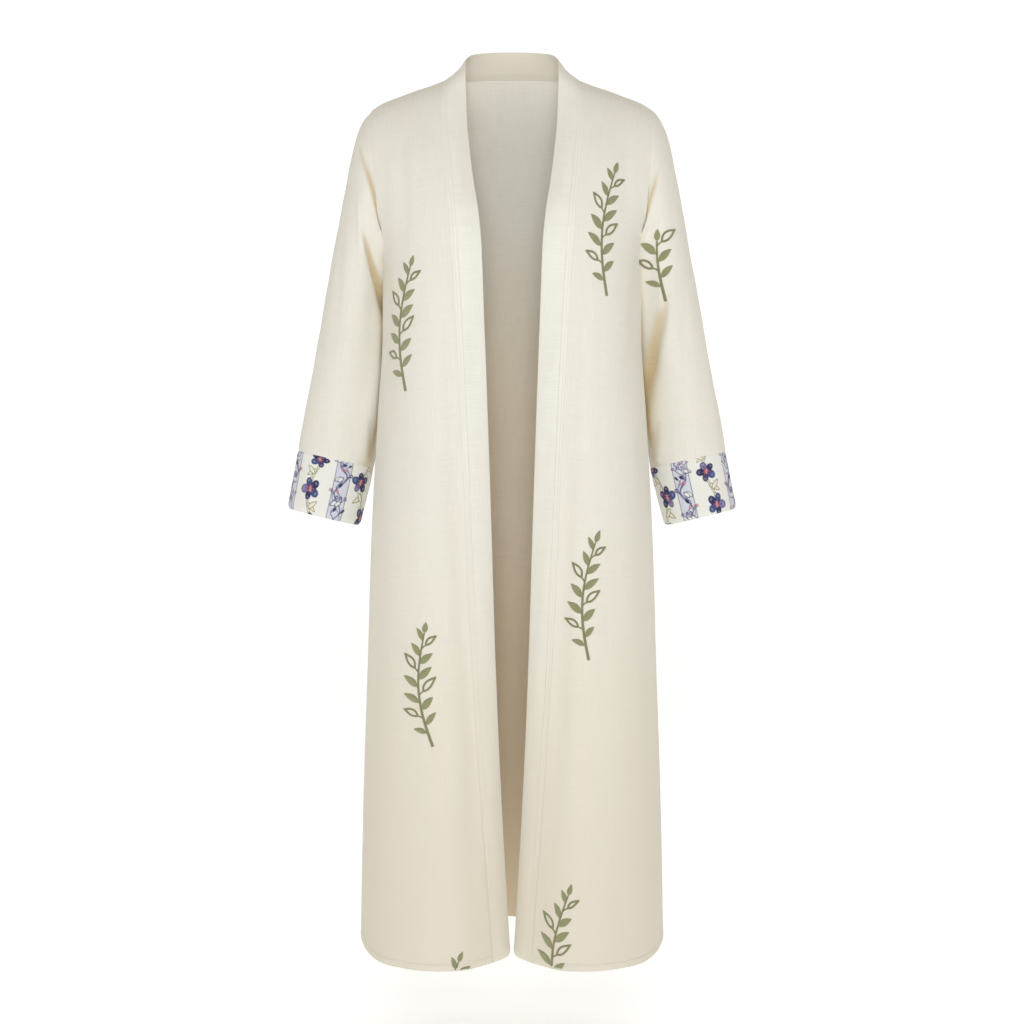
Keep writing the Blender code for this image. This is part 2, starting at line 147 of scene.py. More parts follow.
# Broad folds, as the solids have them but shallower on the sleeves: see the columns' names
FRONT_FOLDS = {
    "left": (
        ("across", "width", "height", "top", "foot"),
        (0.09, 0.07, -0.0030, 0.20, 0.75),
        (0.42, 0.13, 0.0030, 0.30, 1.30),
        (0.66, 0.09, -0.0025, 0.45, 1.30),
    ),
    "right": (
        ("across", "width", "height", "top", "foot"),
        (0.09, 0.07, -0.0032, 0.20, 0.75),
        (0.40, 0.13, 0.0030, 0.32, 1.30),
        (0.67, 0.09, -0.0027, 0.44, 1.30),
    ),
}
BACK_FOLDS = (
    ("across", "width", "height", "top", "foot"),
    (-0.78, 0.10, 0.0060, 0.35, 1.30),
    (-0.50, 0.10, -0.0070, 0.25, 1.30),
    (-0.20, 0.12, 0.0080, 0.20, 1.30),
    (0.14, 0.11, -0.0075, 0.22, 1.30),
    (0.43, 0.12, 0.0080, 0.28, 1.30),
    (0.72, 0.10, -0.0060, 0.35, 1.30),
)
SLEEVE_FOLDS = (
    ("start", "end", "from_angle", "to_angle", "width", "height"),
    (0.6, 6.0, 98.0, 128.0, 15.0, -0.0020),
    (4.0, 12.0, 125.0, 142.0, 18.0, -0.0030),
    (1.0, 10.0, 236.0, 226.0, 18.0, -0.0070),
)

# Fine creases, placed one by one. line: points as (distance from the middle, drop below the
# shoulder seam) on the body, and as (sleeve row, degrees round from the outer edge) on a
# sleeve. start and end: the crease's half width in metres there, height: out where positive.
FRONT_CREASES = {
    "left": (
        ("line", "start", "end", "height"),
        (((0.176, 0.060), (0.170, 0.150), (0.172, 0.300)), 0.006, 0.014, -0.0012),
        (((0.150, 0.030), (0.146, 0.120), (0.140, 0.240)), 0.010, 0.018, 0.0010),
        (((0.196, 0.215), (0.185, 0.330), (0.178, 0.520)), 0.006, 0.016, -0.0026),
        (((0.120, 0.180), (0.112, 0.420), (0.108, 0.700)), 0.012, 0.020, 0.0012),
        (((0.205, 0.420), (0.196, 0.700), (0.192, 1.050)), 0.010, 0.020, -0.0022),
        (((0.086, 0.560), (0.078, 0.800), (0.066, 1.120)), 0.008, 0.014, -0.0016),
        (((0.150, 0.620), (0.140, 0.900), (0.136, 1.300)), 0.014, 0.024, -0.0018),
        (((0.110, 0.800), (0.098, 1.050), (0.090, 1.338)), 0.014, 0.020, 0.0016),
        (((0.045, 1.180), (0.060, 1.260), (0.085, 1.320)), 0.008, 0.016, 0.0012),
    ),
    "right": (
        ("line", "start", "end", "height"),
        (((0.168, 0.050), (0.164, 0.130), (0.158, 0.260)), 0.005, 0.010, -0.0015),
        (((0.152, 0.060), (0.149, 0.140), (0.145, 0.250)), 0.006, 0.010, 0.0012),
        (((0.184, 0.090), (0.180, 0.160), (0.178, 0.250)), 0.005, 0.010, 0.0012),
        (((0.197, 0.220), (0.188, 0.350), (0.184, 0.560)), 0.006, 0.016, -0.0024),
        (((0.104, 0.300), (0.092, 0.500), (0.082, 0.760)), 0.010, 0.016, -0.0016),
        (((0.130, 0.360), (0.124, 0.600), (0.116, 0.860)), 0.012, 0.020, 0.0012),
        (((0.208, 0.480), (0.200, 0.760), (0.196, 1.150)), 0.010, 0.020, -0.0024),
        (((0.070, 0.820), (0.056, 1.000), (0.046, 1.200)), 0.007, 0.012, -0.0018),
        (((0.150, 0.760), (0.148, 1.000), (0.150, 1.338)), 0.014, 0.024, -0.0018),
        (((0.105, 0.900), (0.100, 1.100), (0.098, 1.338)), 0.014, 0.022, 0.0018),
    ),
}
BACK_CREASES = (
    ("line", "start", "end", "height"),
    (((-0.186, 0.150), (-0.172, 0.300), (-0.168, 0.520)), 0.007, 0.018, -0.0035),
    (((0.188, 0.150), (0.170, 0.320), (0.160, 0.560)), 0.007, 0.018, -0.0035),
    (((-0.120, 0.060), (-0.100, 0.200), (-0.095, 0.420)), 0.012, 0.024, 0.0018),
    (((0.112, 0.070), (0.104, 0.220), (0.108, 0.460)), 0.012, 0.024, 0.0016),
    (((-0.030, 0.050), (-0.034, 0.260), (-0.028, 0.560)), 0.014, 0.026, -0.0016),
    (((0.040, 0.080), (0.048, 0.300), (0.040, 0.700)), 0.014, 0.026, 0.0014),
    (((-0.150, 0.520), (-0.140, 0.850), (-0.138, 1.338)), 0.014, 0.026, 0.0030),
    (((-0.085, 0.600), (-0.075, 0.950), (-0.070, 1.338)), 0.014, 0.024, -0.0030),
    (((0.080, 0.560), (0.070, 0.900), (0.074, 1.338)), 0.014, 0.024, 0.0028),
    (((0.150, 0.620), (0.140, 0.950), (0.146, 1.338)), 0.012, 0.022, -0.0026),
    (((0.010, 0.700), (0.004, 1.000), (0.008, 1.338)), 0.014, 0.024, 0.0024),
)
SLEEVE_CREASES = {
    "left": (
        ("line", "start", "end", "height"),
        (((-2.0, 172.0), (0.0, 132.0), (0.5, 120.0), (1.1, 105.0), (1.6, 92.0), (2.1, 74.0)),
         0.012, 0.005, -0.0016),
        (((-1.0, 126.0), (0.6, 102.0), (1.3, 84.0), (2.2, 54.0)), 0.007, 0.006, 0.0018),
        (((7.6, 94.0), (8.4, 104.0), (9.1, 112.0), (9.8, 124.0), (10.7, 134.0), (11.4, 143.0), (12.8, 152.0)),
         0.008, 0.014, -0.0042),
        (((-2.6, 146.0), (0.0, 149.0), (3.0, 154.0), (6.0, 152.0), (9.0, 154.0), (12.0, 158.0)),
         0.024, 0.024, 0.0125),
        (((9.6, 150.0), (11.6, 148.0), (13.5, 146.0), (16.0, 146.0)), 0.018, 0.018, 0.0060),
        (((7.2, 78.0), (8.8, 94.0), (10.5, 108.0)), 0.007, 0.012, 0.0024),
        (((8.0, 60.0), (10.0, 72.0), (12.5, 84.0)), 0.009, 0.014, -0.0018),
        (((12.8, 134.0), (13.7, 144.0), (14.7, 150.0)), 0.007, 0.010, -0.0035),
        (((9.0, 20.0), (11.5, 34.0), (14.0, 38.0)), 0.010, 0.014, 0.0016),
        (((0.4, 236.0), (1.8, 262.0), (3.2, 292.0)), 0.009, 0.006, -0.0070),
        (((3.0, 226.0), (6.0, 244.0), (9.0, 250.0)), 0.008, 0.014, -0.0060),
        (((6.0, 286.0), (8.5, 280.0), (11.0, 268.0)), 0.009, 0.012, -0.0030),
        (((10.0, 214.0), (12.0, 236.0), (13.5, 262.0)), 0.007, 0.010, -0.0036),
        (((11.5, 200.0), (13.5, 222.0), (14.8, 250.0)), 0.008, 0.010, 0.0026),
    ),
    "right": (
        ("line", "start", "end", "height"),
        (((-2.0, 165.0), (0.0, 127.0), (0.35, 118.0), (0.7, 107.0), (1.4, 86.0), (2.0, 60.0)),
         0.012, 0.004, -0.0016),
        (((-1.0, 124.0), (0.5, 98.0), (1.2, 76.0), (2.0, 46.0)), 0.007, 0.006, 0.0018),
        (((4.2, 96.0), (4.8, 105.0), (5.6, 121.0), (6.2, 131.0), (6.7, 141.0), (7.4, 149.0), (8.6, 158.0)),
         0.006, 0.013, -0.0045),
        (((-2.6, 146.0), (0.0, 149.0), (2.0, 155.0), (4.0, 160.0), (7.4, 164.0)), 0.024, 0.020, 0.0115),
        (((6.8, 156.0), (8.0, 148.0), (10.0, 144.0), (12.5, 142.0), (16.0, 142.0)), 0.018, 0.020, 0.0085),
        (((3.4, 74.0), (4.8, 90.0), (6.8, 106.0)), 0.007, 0.012, 0.0024),
        (((5.5, 44.0), (8.0, 58.0), (11.0, 66.0)), 0.010, 0.015, -0.0020),
        (((12.8, 140.0), (13.7, 148.0), (14.7, 152.0)), 0.007, 0.010, -0.0035),
        (((8.0, 14.0), (11.0, 24.0), (14.0, 26.0)), 0.010, 0.014, 0.0016),
        (((0.4, 238.0), (1.6, 266.0), (3.0, 296.0)), 0.009, 0.006, -0.0070),
        (((3.4, 228.0), (6.4, 240.0), (9.4, 246.0)), 0.008, 0.014, -0.0060),
        (((6.4, 290.0), (9.0, 282.0), (11.4, 272.0)), 0.009, 0.012, -0.0028),
        (((10.4, 212.0), (12.2, 232.0), (13.8, 258.0)), 0.007, 0.010, -0.0038),
    ),
}
# Painted warm shade in the sleeves' folds, where light has passed from cloth to cloth: height is
# the strength of the painted shade
SLEEVE_PAINTED_SHADE = {
    "left": (
        ("line", "start", "end", "height"),
        (((-2.0, 168.0), (0.0, 129.0), (0.5, 116.0), (1.1, 101.0), (1.6, 90.0), (2.0, 78.0)),
         0.024, 0.006, 1.00),
        (((7.7, 102.0), (8.4, 110.0), (9.1, 118.0), (9.8, 129.0), (10.7, 136.0), (11.4, 143.0),
          (12.8, 151.0), (14.5, 158.0)), 0.011, 0.022, 1.00),
        (((3.5, 152.0), (6.0, 150.0), (9.5, 151.0), (13.5, 153.0)), 0.010, 0.010, 0.55),
        (((11.8, 150.0), (13.6, 152.0), (17.0, 150.0)), 0.008, 0.010, 0.55),
        (((0.2, 226.0), (1.6, 250.0), (3.0, 284.0)), 0.012, 0.004, 0.90),
        (((3.0, 226.0), (6.0, 244.0), (9.0, 250.0)), 0.008, 0.012, 0.70),
        (((11.0, 205.0), (13.0, 222.0), (15.0, 246.0)), 0.008, 0.010, 0.50),
    ),
    "right": (
        ("line", "start", "end", "height"),
        (((-2.0, 162.0), (0.0, 123.0), (0.4, 112.0), (0.8, 101.0), (1.5, 82.0), (1.9, 60.0), (2.1, 44.0)),
         0.024, 0.005, 1.00),
        (((4.1, 98.0), (4.8, 110.0), (5.6, 128.0), (6.2, 137.0), (6.7, 145.0), (7.4, 151.0), (8.6, 157.0),
          (11.0, 166.0)), 0.010, 0.021, 1.05),
        (((2.5, 156.0), (5.0, 157.0), (7.5, 156.0), (11.5, 155.0)), 0.010, 0.010, 0.70),
        (((8.6, 152.0), (11.0, 154.0), (14.5, 156.0)), 0.008, 0.008, 0.40),
        (((12.4, 170.0), (13.6, 159.0), (14.6, 151.0), (16.2, 146.0)), 0.010, 0.018, 0.80),
        (((0.2, 228.0), (1.5, 254.0), (2.9, 290.0)), 0.012, 0.004, 0.90),
        (((3.4, 228.0), (6.4, 240.0), (9.4, 246.0)), 0.008, 0.012, 0.70),
        (((10.8, 206.0), (12.6, 224.0), (14.6, 250.0)), 0.008, 0.010, 0.50),
    ),
}
SLEEVE_ROW_LENGTH = 0.038
LAST_ROW_LENGTH = 0.0355
SLEEVE_DEGREE_LENGTH = 0.0012

# The sprays' branch, in millimetres from its middle, x to the viewer's right and y down. It follows
# a rule: one even bow, with leaves set by turns to its right and left, and every third outlined.
BRANCH_TOP = -78.0
BRANCH_FOOT = 92.0
BRANCH_BOW = 15.0
BRANCH_LEAN = 7.0
BRANCH_WIDTHS = (1.7, 3.4)
LEAF_COUNT = 13
LEAF_FIRST = 0.07
LEAF_LAST = 0.88
LEAF_LENGTH = 27.0
LEAF_SHORTEST = 0.62
LEAF_SLENDER = 0.38
LEAF_ANGLES = (36.0, 58.0)
LEAF_BEND = 1.2
STALKS = (9.0, 2.5)
STALK_WIDTH = 1.7
OUTLINE = 1.7
TIP_LEAF = (17.0, 7.5)
# Where the sprays are. across, down: the middle of the motif, in metres to the wearer's left and
# below the origin, turn: degrees counter-clockwise, wide and tall: its size against the branch's own,
# side: the face of the cloth that it is on.
SPRAYS = (
    ("name", "cloth", "motif", "across", "down", "turn", "wide", "tall", "side"),
    ("spray_chest_right", "front_right", "spray", -0.1618, 0.3965, 1.8, 0.92, 1.085, "front"),
    ("spray_chest_left", "front_left", "spray", 0.1400, 0.2560, 0.0, 0.90, 1.09, "front"),
    ("spray_thigh_left", "front_left", "spray", 0.1102, 0.8000, 1.0, 0.96, 1.01, "front"),
    ("spray_knee_right", "front_right", "spray", -0.1306, 0.9305, 9.4, 1.00, 0.97, "front"),
    ("spray_hem_left", "front_left", "spray", 0.0660, 1.3108, -1.4, 0.94, 1.00, "front"),
    ("spray_hem_right", "front_right", "spray", -0.0910, 1.4060, 0.0, 0.92, 1.00, "front"),
    ("sprig_sleeve_left", "sleeve_left", "sprig", 0.2322, 0.2995, 4.0, 1.12, 1.06, "front"),
    ("spray_sleeve_left", "sleeve_left", "spray", 0.2720, 0.4300, 8.0, 0.92, 0.96, "back"),
    ("spray_sleeve_right", "sleeve_right", "spray", -0.2600, 0.3000, -8.0, 0.92, 0.96, "back"),
    ("spray_back_high_left", "back", "spray", 0.1150, 0.2600, 0.0, 0.92, 1.05, "back"),
    ("spray_back_high_right", "back", "spray", -0.0700, 0.4000, 3.0, 0.94, 1.05, "back"),
    ("spray_back_middle_left", "back", "spray", 0.0850, 0.7400, -2.0, 1.00, 1.00, "back"),
    ("spray_back_middle_right", "back", "spray", -0.1250, 0.8900, 2.0, 1.00, 1.00, "back"),
    ("spray_back_low_left", "back", "spray", 0.1300, 1.2200, 1.0, 1.00, 1.00, "back"),
    ("spray_back_low_right", "back", "spray", -0.0600, 1.3700, -2.0, 1.00, 1.00, "back"),
)
THREAD_HEIGHT = 0.0009
THREAD_FLOOR = 0.00015
STEM_WIDTH = 1.50
OUTLINE_WIDTH = 2.05
LEAF_WIDTH = 1.20
LEAF_ROWS = 13
LEAF_COLUMNS = 9
PATCH_REACH = 0.115
PATCH_STEP = 0.002
PATCH_STRETCH = 1.7
PATCH_NEAR = 0.045


def smooth(keys, values, at):
    """Values between a short table's rows, on a smooth curve that never overshoots them."""
    keys = np.asarray(keys, dtype=float)
    values = np.asarray(values, dtype=float)
    steps = np.diff(keys)
    rises = np.diff(values) / steps
    together = rises[:-1] * rises[1:]
    sums = rises[:-1] + rises[1:]
    inner = np.where(together > 0, 2 * together / np.where(sums == 0, 1, sums), 0)
    slopes = np.concatenate(([rises[0]], inner, [rises[-1]]))
    at = np.clip(at, keys[0], keys[-1])
    row = np.clip(np.searchsorted(keys, at, side="right") - 1, 0, len(steps) - 1)
    t = (at - keys[row]) / steps[row]
    start = values[row] * (1 + 2 * t) + slopes[row] * steps[row] * t
    end = values[row + 1] * (3 - 2 * t) - slopes[row + 1] * steps[row] * (1 - t)
    return start * (1 - t) ** 2 + end * t ** 2


def ease(value):
    """Smooth step from 0 to 1."""
    t = np.clip(value, 0, 1)
    return t * t * (3 - 2 * t)


def body(name, drop):
    return smooth(np.sqrt(BODY["drop"]), BODY[name], np.sqrt(np.maximum(drop, 0)))


def fold_height(table, across, drop):
    total = 0.0
    for centre, width, height, top, foot in table[1:]:
        shape = np.exp(-((across - centre) / width) ** 2)
        total = total + height * shape * ease((drop - top) / (foot - top))
    return total


def outer_edge(drop):
    turn = np.arccos(np.clip(1 - 2 * drop / UNDERARM_DROP, -1, 1))
    armhole_x = SHOULDER_X + (UNDERARM_X - SHOULDER_X) * drop / UNDERARM_DROP
    x = np.where(drop < UNDERARM_DROP, armhole_x, body("side", np.maximum(drop, UNDERARM_DROP)))
    return x, ARMHOLE_HALF_DEPTH * np.sin(turn)


def section(x, drop, side):
    edge_x, edge_depth = outer_edge(drop)
    reach = np.maximum(body("reach", drop), edge_x)
    across_power = ACROSS_POWER + HEM_ACROSS_POWER * drop / BODY_LENGTH
    side_power = SIDE_POWER + HEM_SIDE_POWER * drop / BODY_LENGTH

    def free(distance):
        inside = np.clip(1 - (distance / reach) ** across_power, 0, 1)
        return body(side, drop) * inside ** side_power

    nearness = np.clip(np.abs(x) / edge_x, 0, 1) ** EDGE_POWER
    return free(np.abs(x)) + (edge_depth - free(edge_x)) * nearness


def height(top, drop):
    return top * (1 - drop / BODY_LENGTH) - drop


def front_points(share, drop, hand):
    seam = body("seam", drop)
    edge_x, _ = outer_edge(drop)
    x = seam + (edge_x - seam) * share
    inward = np.clip(1 - (x - body("edge", drop)) / ROLL_REACH, 0, 1)
    y = body("roll", drop) * inward ** 2 - section(x, drop, "front")
    fade = ease((1 - share) / SIDE_FADE) * ease(share / BAND_FADE)
    y = y - fold_height(FRONT_FOLDS[hand], share, drop) * fade
    top = smooth(SHOULDER["x"], SHOULDER["z"], NECK_SIDE_X + (SHOULDER_X - NECK_SIDE_X) * share)
    return np.stack(np.broadcast_arrays(x, y, height(top, drop)), axis=-1)


def neck_seam(angle):
    x = NECK_SIDE_X * np.sin(angle)
    y = NECK_BACK_Y * np.cos(angle)
    rise = NECK_BACK_RISE * np.cos(angle) + NAPE_RISE * np.cos(angle) ** 3
    return np.stack((x, y, NECK_SIDE_Z + rise), axis=-1)


def back_points(share, drop):
    edge_x, _ = outer_edge(drop)
    x = share * edge_x
    start = np.abs(share) * SHOULDER_X
    turn = np.arcsin(np.clip(start / NECK_SIDE_X, 0, 1))
    neck = neck_seam(turn)
    below = ease(drop / NECK_BLEND)
    nape = NECK_BACK_Y * np.exp(-(start / NAPE_WIDTH) ** 2)
    neck_depth = neck[..., 1] * (1 - below) + nape * below
    neck_depth = neck_depth * np.clip(1 - drop / NECK_FADE, 0, 1)
    y = (neck_depth ** NAPE_POWER + section(x, drop, "back") ** NAPE_POWER) ** (1 / NAPE_POWER)
    fade = ease((1 - np.abs(share)) / SIDE_FADE)
    y = y + fold_height(BACK_FOLDS, share, drop) * fade
    yoke = smooth(SHOULDER["x"], SHOULDER["z"], start)
    seam = np.where(start < NECK_SIDE_X, neck[..., 2], yoke)
    top = seam * (1 - below) + yoke * below
    return np.stack(np.broadcast_arrays(x, y, height(top, drop)), axis=-1)


def sleeve_points(row, turn):
    rows = np.arange(len(SLEEVE["middle"]))
    outer_x, outer_z, under_x, under_z, middle, depth = (
        smooth(rows, SLEEVE[name], row)
        for name in ("outer_x", "outer_z", "under_x", "under_z", "middle", "depth"))
    across_x = (outer_x - under_x) / 2
    across_z = (outer_z - under_z) / 2
    degrees = np.degrees(turn) % 360
    swell = 0.0
    for start, end, from_angle, to_angle, width, rise in SLEEVE_FOLDS[1:]:
        along = (row - start) / (end - start)
        angle = from_angle + (to_angle - from_angle) * np.clip(along, 0, 1)
        fade = np.clip(4 * along * (1 - along), 0, 1)
        swell = swell + rise * fade * np.exp(-((degrees - angle) / width) ** 2)
    size = np.hypot(across_x, across_z)
    radial_x = np.cos(turn) * across_x / size
    radial_z = np.cos(turn) * across_z / size
    x = (outer_x + under_x) / 2 + np.cos(turn) * across_x + swell * radial_x
    y = middle - np.sin(turn) * (depth + swell)
    z = (outer_z + under_z) / 2 + np.cos(turn) * across_z + swell * radial_z
    return np.stack(np.broadcast_arrays(x, y, z), axis=-1)


def to_segment(u, v, start, end):
    """The nearest place on a straight piece of line, from 0 to 1 along it, and the distance to it."""
    du, dv = end[0] - start[0], end[1] - start[1]
    t = np.clip(((u - start[0]) * du + (v - start[1]) * dv) / (du * du + dv * dv), 0, 1)
    return t, np.hypot(u - start[0] - t * du, v - start[1] - t * dv)


def crease_height(table, u, v):
    """Sum of the creases at points (u, v) in metres. Each fades in and out along its line."""
    total = np.zeros(np.broadcast(u, v).shape)
    for line, start, end, rise in table[1:]:
        line = np.asarray(line, dtype=float)
        lengths = np.hypot(*np.diff(line, axis=0).T)
        travelled = np.concatenate(([0], np.cumsum(lengths))) / lengths.sum()
        nearest = np.full(total.shape, np.inf)
        along = np.zeros(total.shape)
        for index in range(len(line) - 1):
            t, distance = to_segment(u, v, line[index], line[index + 1])
            closer = distance < nearest
            nearest = np.where(closer, distance, nearest)
            here = travelled[index] + t * (travelled[index + 1] - travelled[index])
            along = np.where(closer, here, along)
        width = start + (end - start) * along
        fade = np.sin(np.pi * np.clip(along, 0.0, 1.0) ** 0.8) ** 0.7
        fade = fade * ease(along / LINE_SOFT) * ease((1 - along) / LINE_SOFT)
        total = total + rise * fade * np.exp(-(nearest / width) ** 2)
    return total


def unevenness(u, v, seed, size=0.0003):
    """Slight lasting waves in the cloth, in metres."""
    random = np.random.default_rng(seed)
    total = np.zeros(np.broadcast(u, v).shape)
    for wave in (0.085, 0.055, 0.034, 0.021):
        for _ in range(4):
            angle = random.uniform(0, np.pi)
            phase = random.uniform(0, 2 * np.pi)
            distance = u * np.cos(angle) + 0.45 * v * np.sin(angle)
            total = total + wave / 0.085 * np.sin(2 * np.pi * distance / wave + phase)
    return total * size / 2


def length_along(points):
    """Length along a line of points, from its start."""
    return np.concatenate(([0], np.cumsum(np.linalg.norm(np.diff(points, axis=0), axis=1))))


def summed(steps):
    """Sum of the steps along each row, from 0."""
    return np.concatenate((np.zeros((len(steps), 1)), np.cumsum(steps, axis=1)), axis=1)


def length_across(grid):
    """Length along each row of a grid, from its first column."""
    return summed(np.linalg.norm(np.diff(grid, axis=1), axis=-1))


def grid_normals(grid, closed=False):
    """Unit normals of a grid, down its rows crossed with across its columns."""
    if closed:
        across = np.roll(grid, -1, axis=1) - np.roll(grid, 1, axis=1)
    else:
        across = np.gradient(grid, axis=1)
    down = np.gradient(grid, axis=0)
    normal = np.cross(down, across)
    size = np.linalg.norm(normal, axis=-1, keepdims=True)
    return normal / np.maximum(size, 1e-12)


class Patch:
    """Part of one face of a cloth, as level lines that run to the right as seen from outside."""

    def __init__(self, grid, normals, x, z):
        self.z = z
        self.levels = np.arange(PATCH_REACH, -PATCH_REACH, -PATCH_STEP)
        near = np.abs(grid[-1, :, 0] - x) < PATCH_NEAR
        self.lowest = grid[-1, near, 2].max()
        rows = np.arange(len(grid))
        columns = grid.shape[1]
        self.points = np.empty((len(self.levels), columns, 3))
        self.normals = np.empty_like(self.points)
        for column in range(columns):
            at = np.interp(-(z + self.levels), -grid[:, column, 2], rows)
            for axis in range(3):
                self.points[:, column, axis] = np.interp(at, rows, grid[:, column, axis])
                self.normals[:, column, axis] = np.interp(at, rows, normals[:, column, axis])
        steps = np.diff(self.points, axis=1)
        steps = np.maximum(np.abs(steps[..., 0]), np.linalg.norm(steps, axis=-1) / PATCH_STRETCH)
        self.along = summed(steps)
        to_right = np.sign(self.points[0, -1, 0] - self.points[0, 0, 0])
        self.start = np.array([np.interp(x * to_right, line[:, 0] * to_right, along)
                               for line, along in zip(self.points, self.along)])

    def lay(self, points, heights):
        """Points given to the right and down from the middle, lifted off the face, and whether
        each is on the cloth."""
        laid, on = [], []
        columns = np.arange(self.points.shape[1])
        for (du, dv), lift in zip(points, heights):
            level = np.clip((PATCH_REACH + dv) / PATCH_STEP, 0, len(self.levels) - 1.001)
            k = int(level)
            part = level - k
            along = self.along[k] * (1 - part) + self.along[k + 1] * part
            place = self.start[k] * (1 - part) + self.start[k + 1] * part + du
            column = min(np.interp(place, along, columns), columns[-1] - 0.001)
            c = int(column)
            share = column - c
            weights = ((k, c, (1 - part) * (1 - share)), (k, c + 1, (1 - part) * share),
                       (k + 1, c, part * (1 - share)), (k + 1, c + 1, part * share))
            point = sum(self.points[i, j] * w for i, j, w in weights)
            normal = sum(self.normals[i, j] * w for i, j, w in weights)
            laid.append(point + normal / np.linalg.norm(normal) * lift)
            on.append(along[0] < place < along[-1] and self.z - dv > self.lowest + 0.0004)
        return np.array(laid), np.array(on)


def face_patch(cloth, side, x, z):
    """The patch of a cloth's front or back face round a place."""
    grid, normals = cloth
    middle_row = len(grid) // 2
    facing = normals[middle_row, :, 1] < 0 if side == "front" else normals[middle_row, :, 1] > 0
    columns = np.flatnonzero(facing)
    gaps = np.flatnonzero(np.diff(columns) > 1)
    if len(gaps):
        columns = np.concatenate((columns[gaps[0] + 1:], columns[:gaps[0] + 1]))
    run = grid[:, columns]
    rightwards = run[middle_row, -1, 0] > run[middle_row, 0, 0]
    if rightwards != (side == "front"):
        columns = columns[::-1]
    return Patch(grid[:, columns], normals[:, columns], x, z)


def put_in_scene(name, data):
    placed = bpy.data.objects.new(name, data)
    bpy.context.scene.collection.objects.link(placed)
    return placed


def attach_mesh(name, vertices, faces, material, uv=None, colours=None, lining=None, lined=(), shades=None):
    """Makes a piece from points and faces; uv, print colours and painted shade are given for each point."""
    mesh = bpy.data.meshes.new(name)
    mesh.from_pydata(np.asarray(vertices).tolist(), [], faces)
    mesh.shade_smooth()
    loops = np.empty(len(mesh.loops), dtype=np.int32)
    mesh.loops.foreach_get("vertex_index", loops)
    if uv is not None:
        layer = mesh.uv_layers.new(name="cloth")
        layer.data.foreach_set("uv", np.asarray(uv, dtype=np.float32)[loops].ravel())
    if colours is not None:
        layer = mesh.color_attributes.new(name="print", type="FLOAT_COLOR", domain="POINT")
        layer.data.foreach_set("color", np.asarray(colours, dtype=np.float32).ravel())
    if shades is not None:
        layer = mesh.attributes.new(name="painted_shade", type="FLOAT", domain="POINT")
        layer.data.foreach_set("value", np.asarray(shades, dtype=np.float32))
    mesh.materials.append(material)
    if lining is not None:
        mesh.materials.append(lining)
        mesh.polygons.foreach_set("material_index", np.asarray(lined, dtype=np.int32))
    return put_in_scene(name, mesh)


def boundary_loop(rows, columns):
    """The edge of a grid, in order round it."""
    top = [(0, c) for c in range(columns)]
    right = [(r, columns - 1) for r in range(1, rows)]
    bottom = [(rows - 1, c) for c in range(columns - 2, -1, -1)]
    left = [(r, 0) for r in range(rows - 2, 0, -1)]
    return top + right + bottom + left


def shell(name, grid, normals, wall, material, uv, closed=False, colours=None, lining=None, shades=None,
          inner_shades=None):
    """A thin piece of cloth with rounded edges. Its outer face is the grid."""
    rows, columns = grid.shape[:2]
    inner = grid - normals * wall
    count = rows * columns
    vertices = [grid.reshape(-1, 3), inner.reshape(-1, 3)]
    texture = [uv.reshape(-1, 2), uv.reshape(-1, 2)]
    spans = columns if closed else columns - 1
    down = np.gradient(grid, axis=0)
    across = np.roll(grid, -1, axis=1) - np.roll(grid, 1, axis=1) if closed else np.gradient(grid, axis=1)
    facing = np.einsum("ijk,ijk->ij", np.cross(down, across), normals).mean() > 0
    faces = []
    inside = []

    def face(a, b, c, d, is_inside=0):
        faces.append((a, b, c, d) if facing else (d, c, b, a))
        inside.append(is_inside)

    for r in range(rows - 1):
        for c in range(spans):
            e = (c + 1) % columns
            a, b = r * columns + c, (r + 1) * columns + c
            d, f = r * columns + e, (r + 1) * columns + e
            face(a, b, f, d)
            face(count + a, count + d, count + f, count + b, 1)
    loops = []
    if closed:
        loops.append([(0, c) for c in range(columns)])
        loops.append([(rows - 1, c) for c in range(columns - 1, -1, -1)])
    else:
        loops.append(boundary_loop(rows, columns))
    start = 2 * count
    for loop in loops:
        r = np.array([p[0] for p in loop])
        c = np.array([p[1] for p in loop])
        within_r = np.clip(r, 1, rows - 2)
        within_c = c if closed else np.clip(c, 1, columns - 2)
        out = grid[r, c] - grid[within_r, within_c]
        out = out / np.maximum(np.linalg.norm(out, axis=1, keepdims=True), 1e-9)
        middle = grid[r, c] - normals[r, c] * wall / 2 + out * wall * 0.35
        vertices.append(middle)
        texture.append(uv[r, c])
        n = len(loop)
        for i in range(n):
            j = (i + 1) % n
            a, b = r[i] * columns + c[i], r[j] * columns + c[j]
            face(a, b, start + j, start + i)
            face(start + i, start + j, count + b, count + a)
        start += n
    vertices = np.concatenate(vertices)
    if colours is not None:
        flat = colours.reshape(-1, 4)
        rims = [colours[[p[0] for p in loop], [p[1] for p in loop]] for loop in loops]
        colours = np.concatenate([flat, flat] + rims)
    # Painted shade values for the outer face, the inner face and the rims
    if shades is not None:
        rims = [shades[[p[0] for p in loop], [p[1] for p in loop]] for loop in loops]
        inner_shades = shades if inner_shades is None else inner_shades
        shades = np.concatenate([shades.ravel(), inner_shades.ravel()] + rims)
    return attach_mesh(name, vertices, faces, material, uv=np.concatenate(texture), colours=colours,
                       lining=lining, lined=inside, shades=shades)


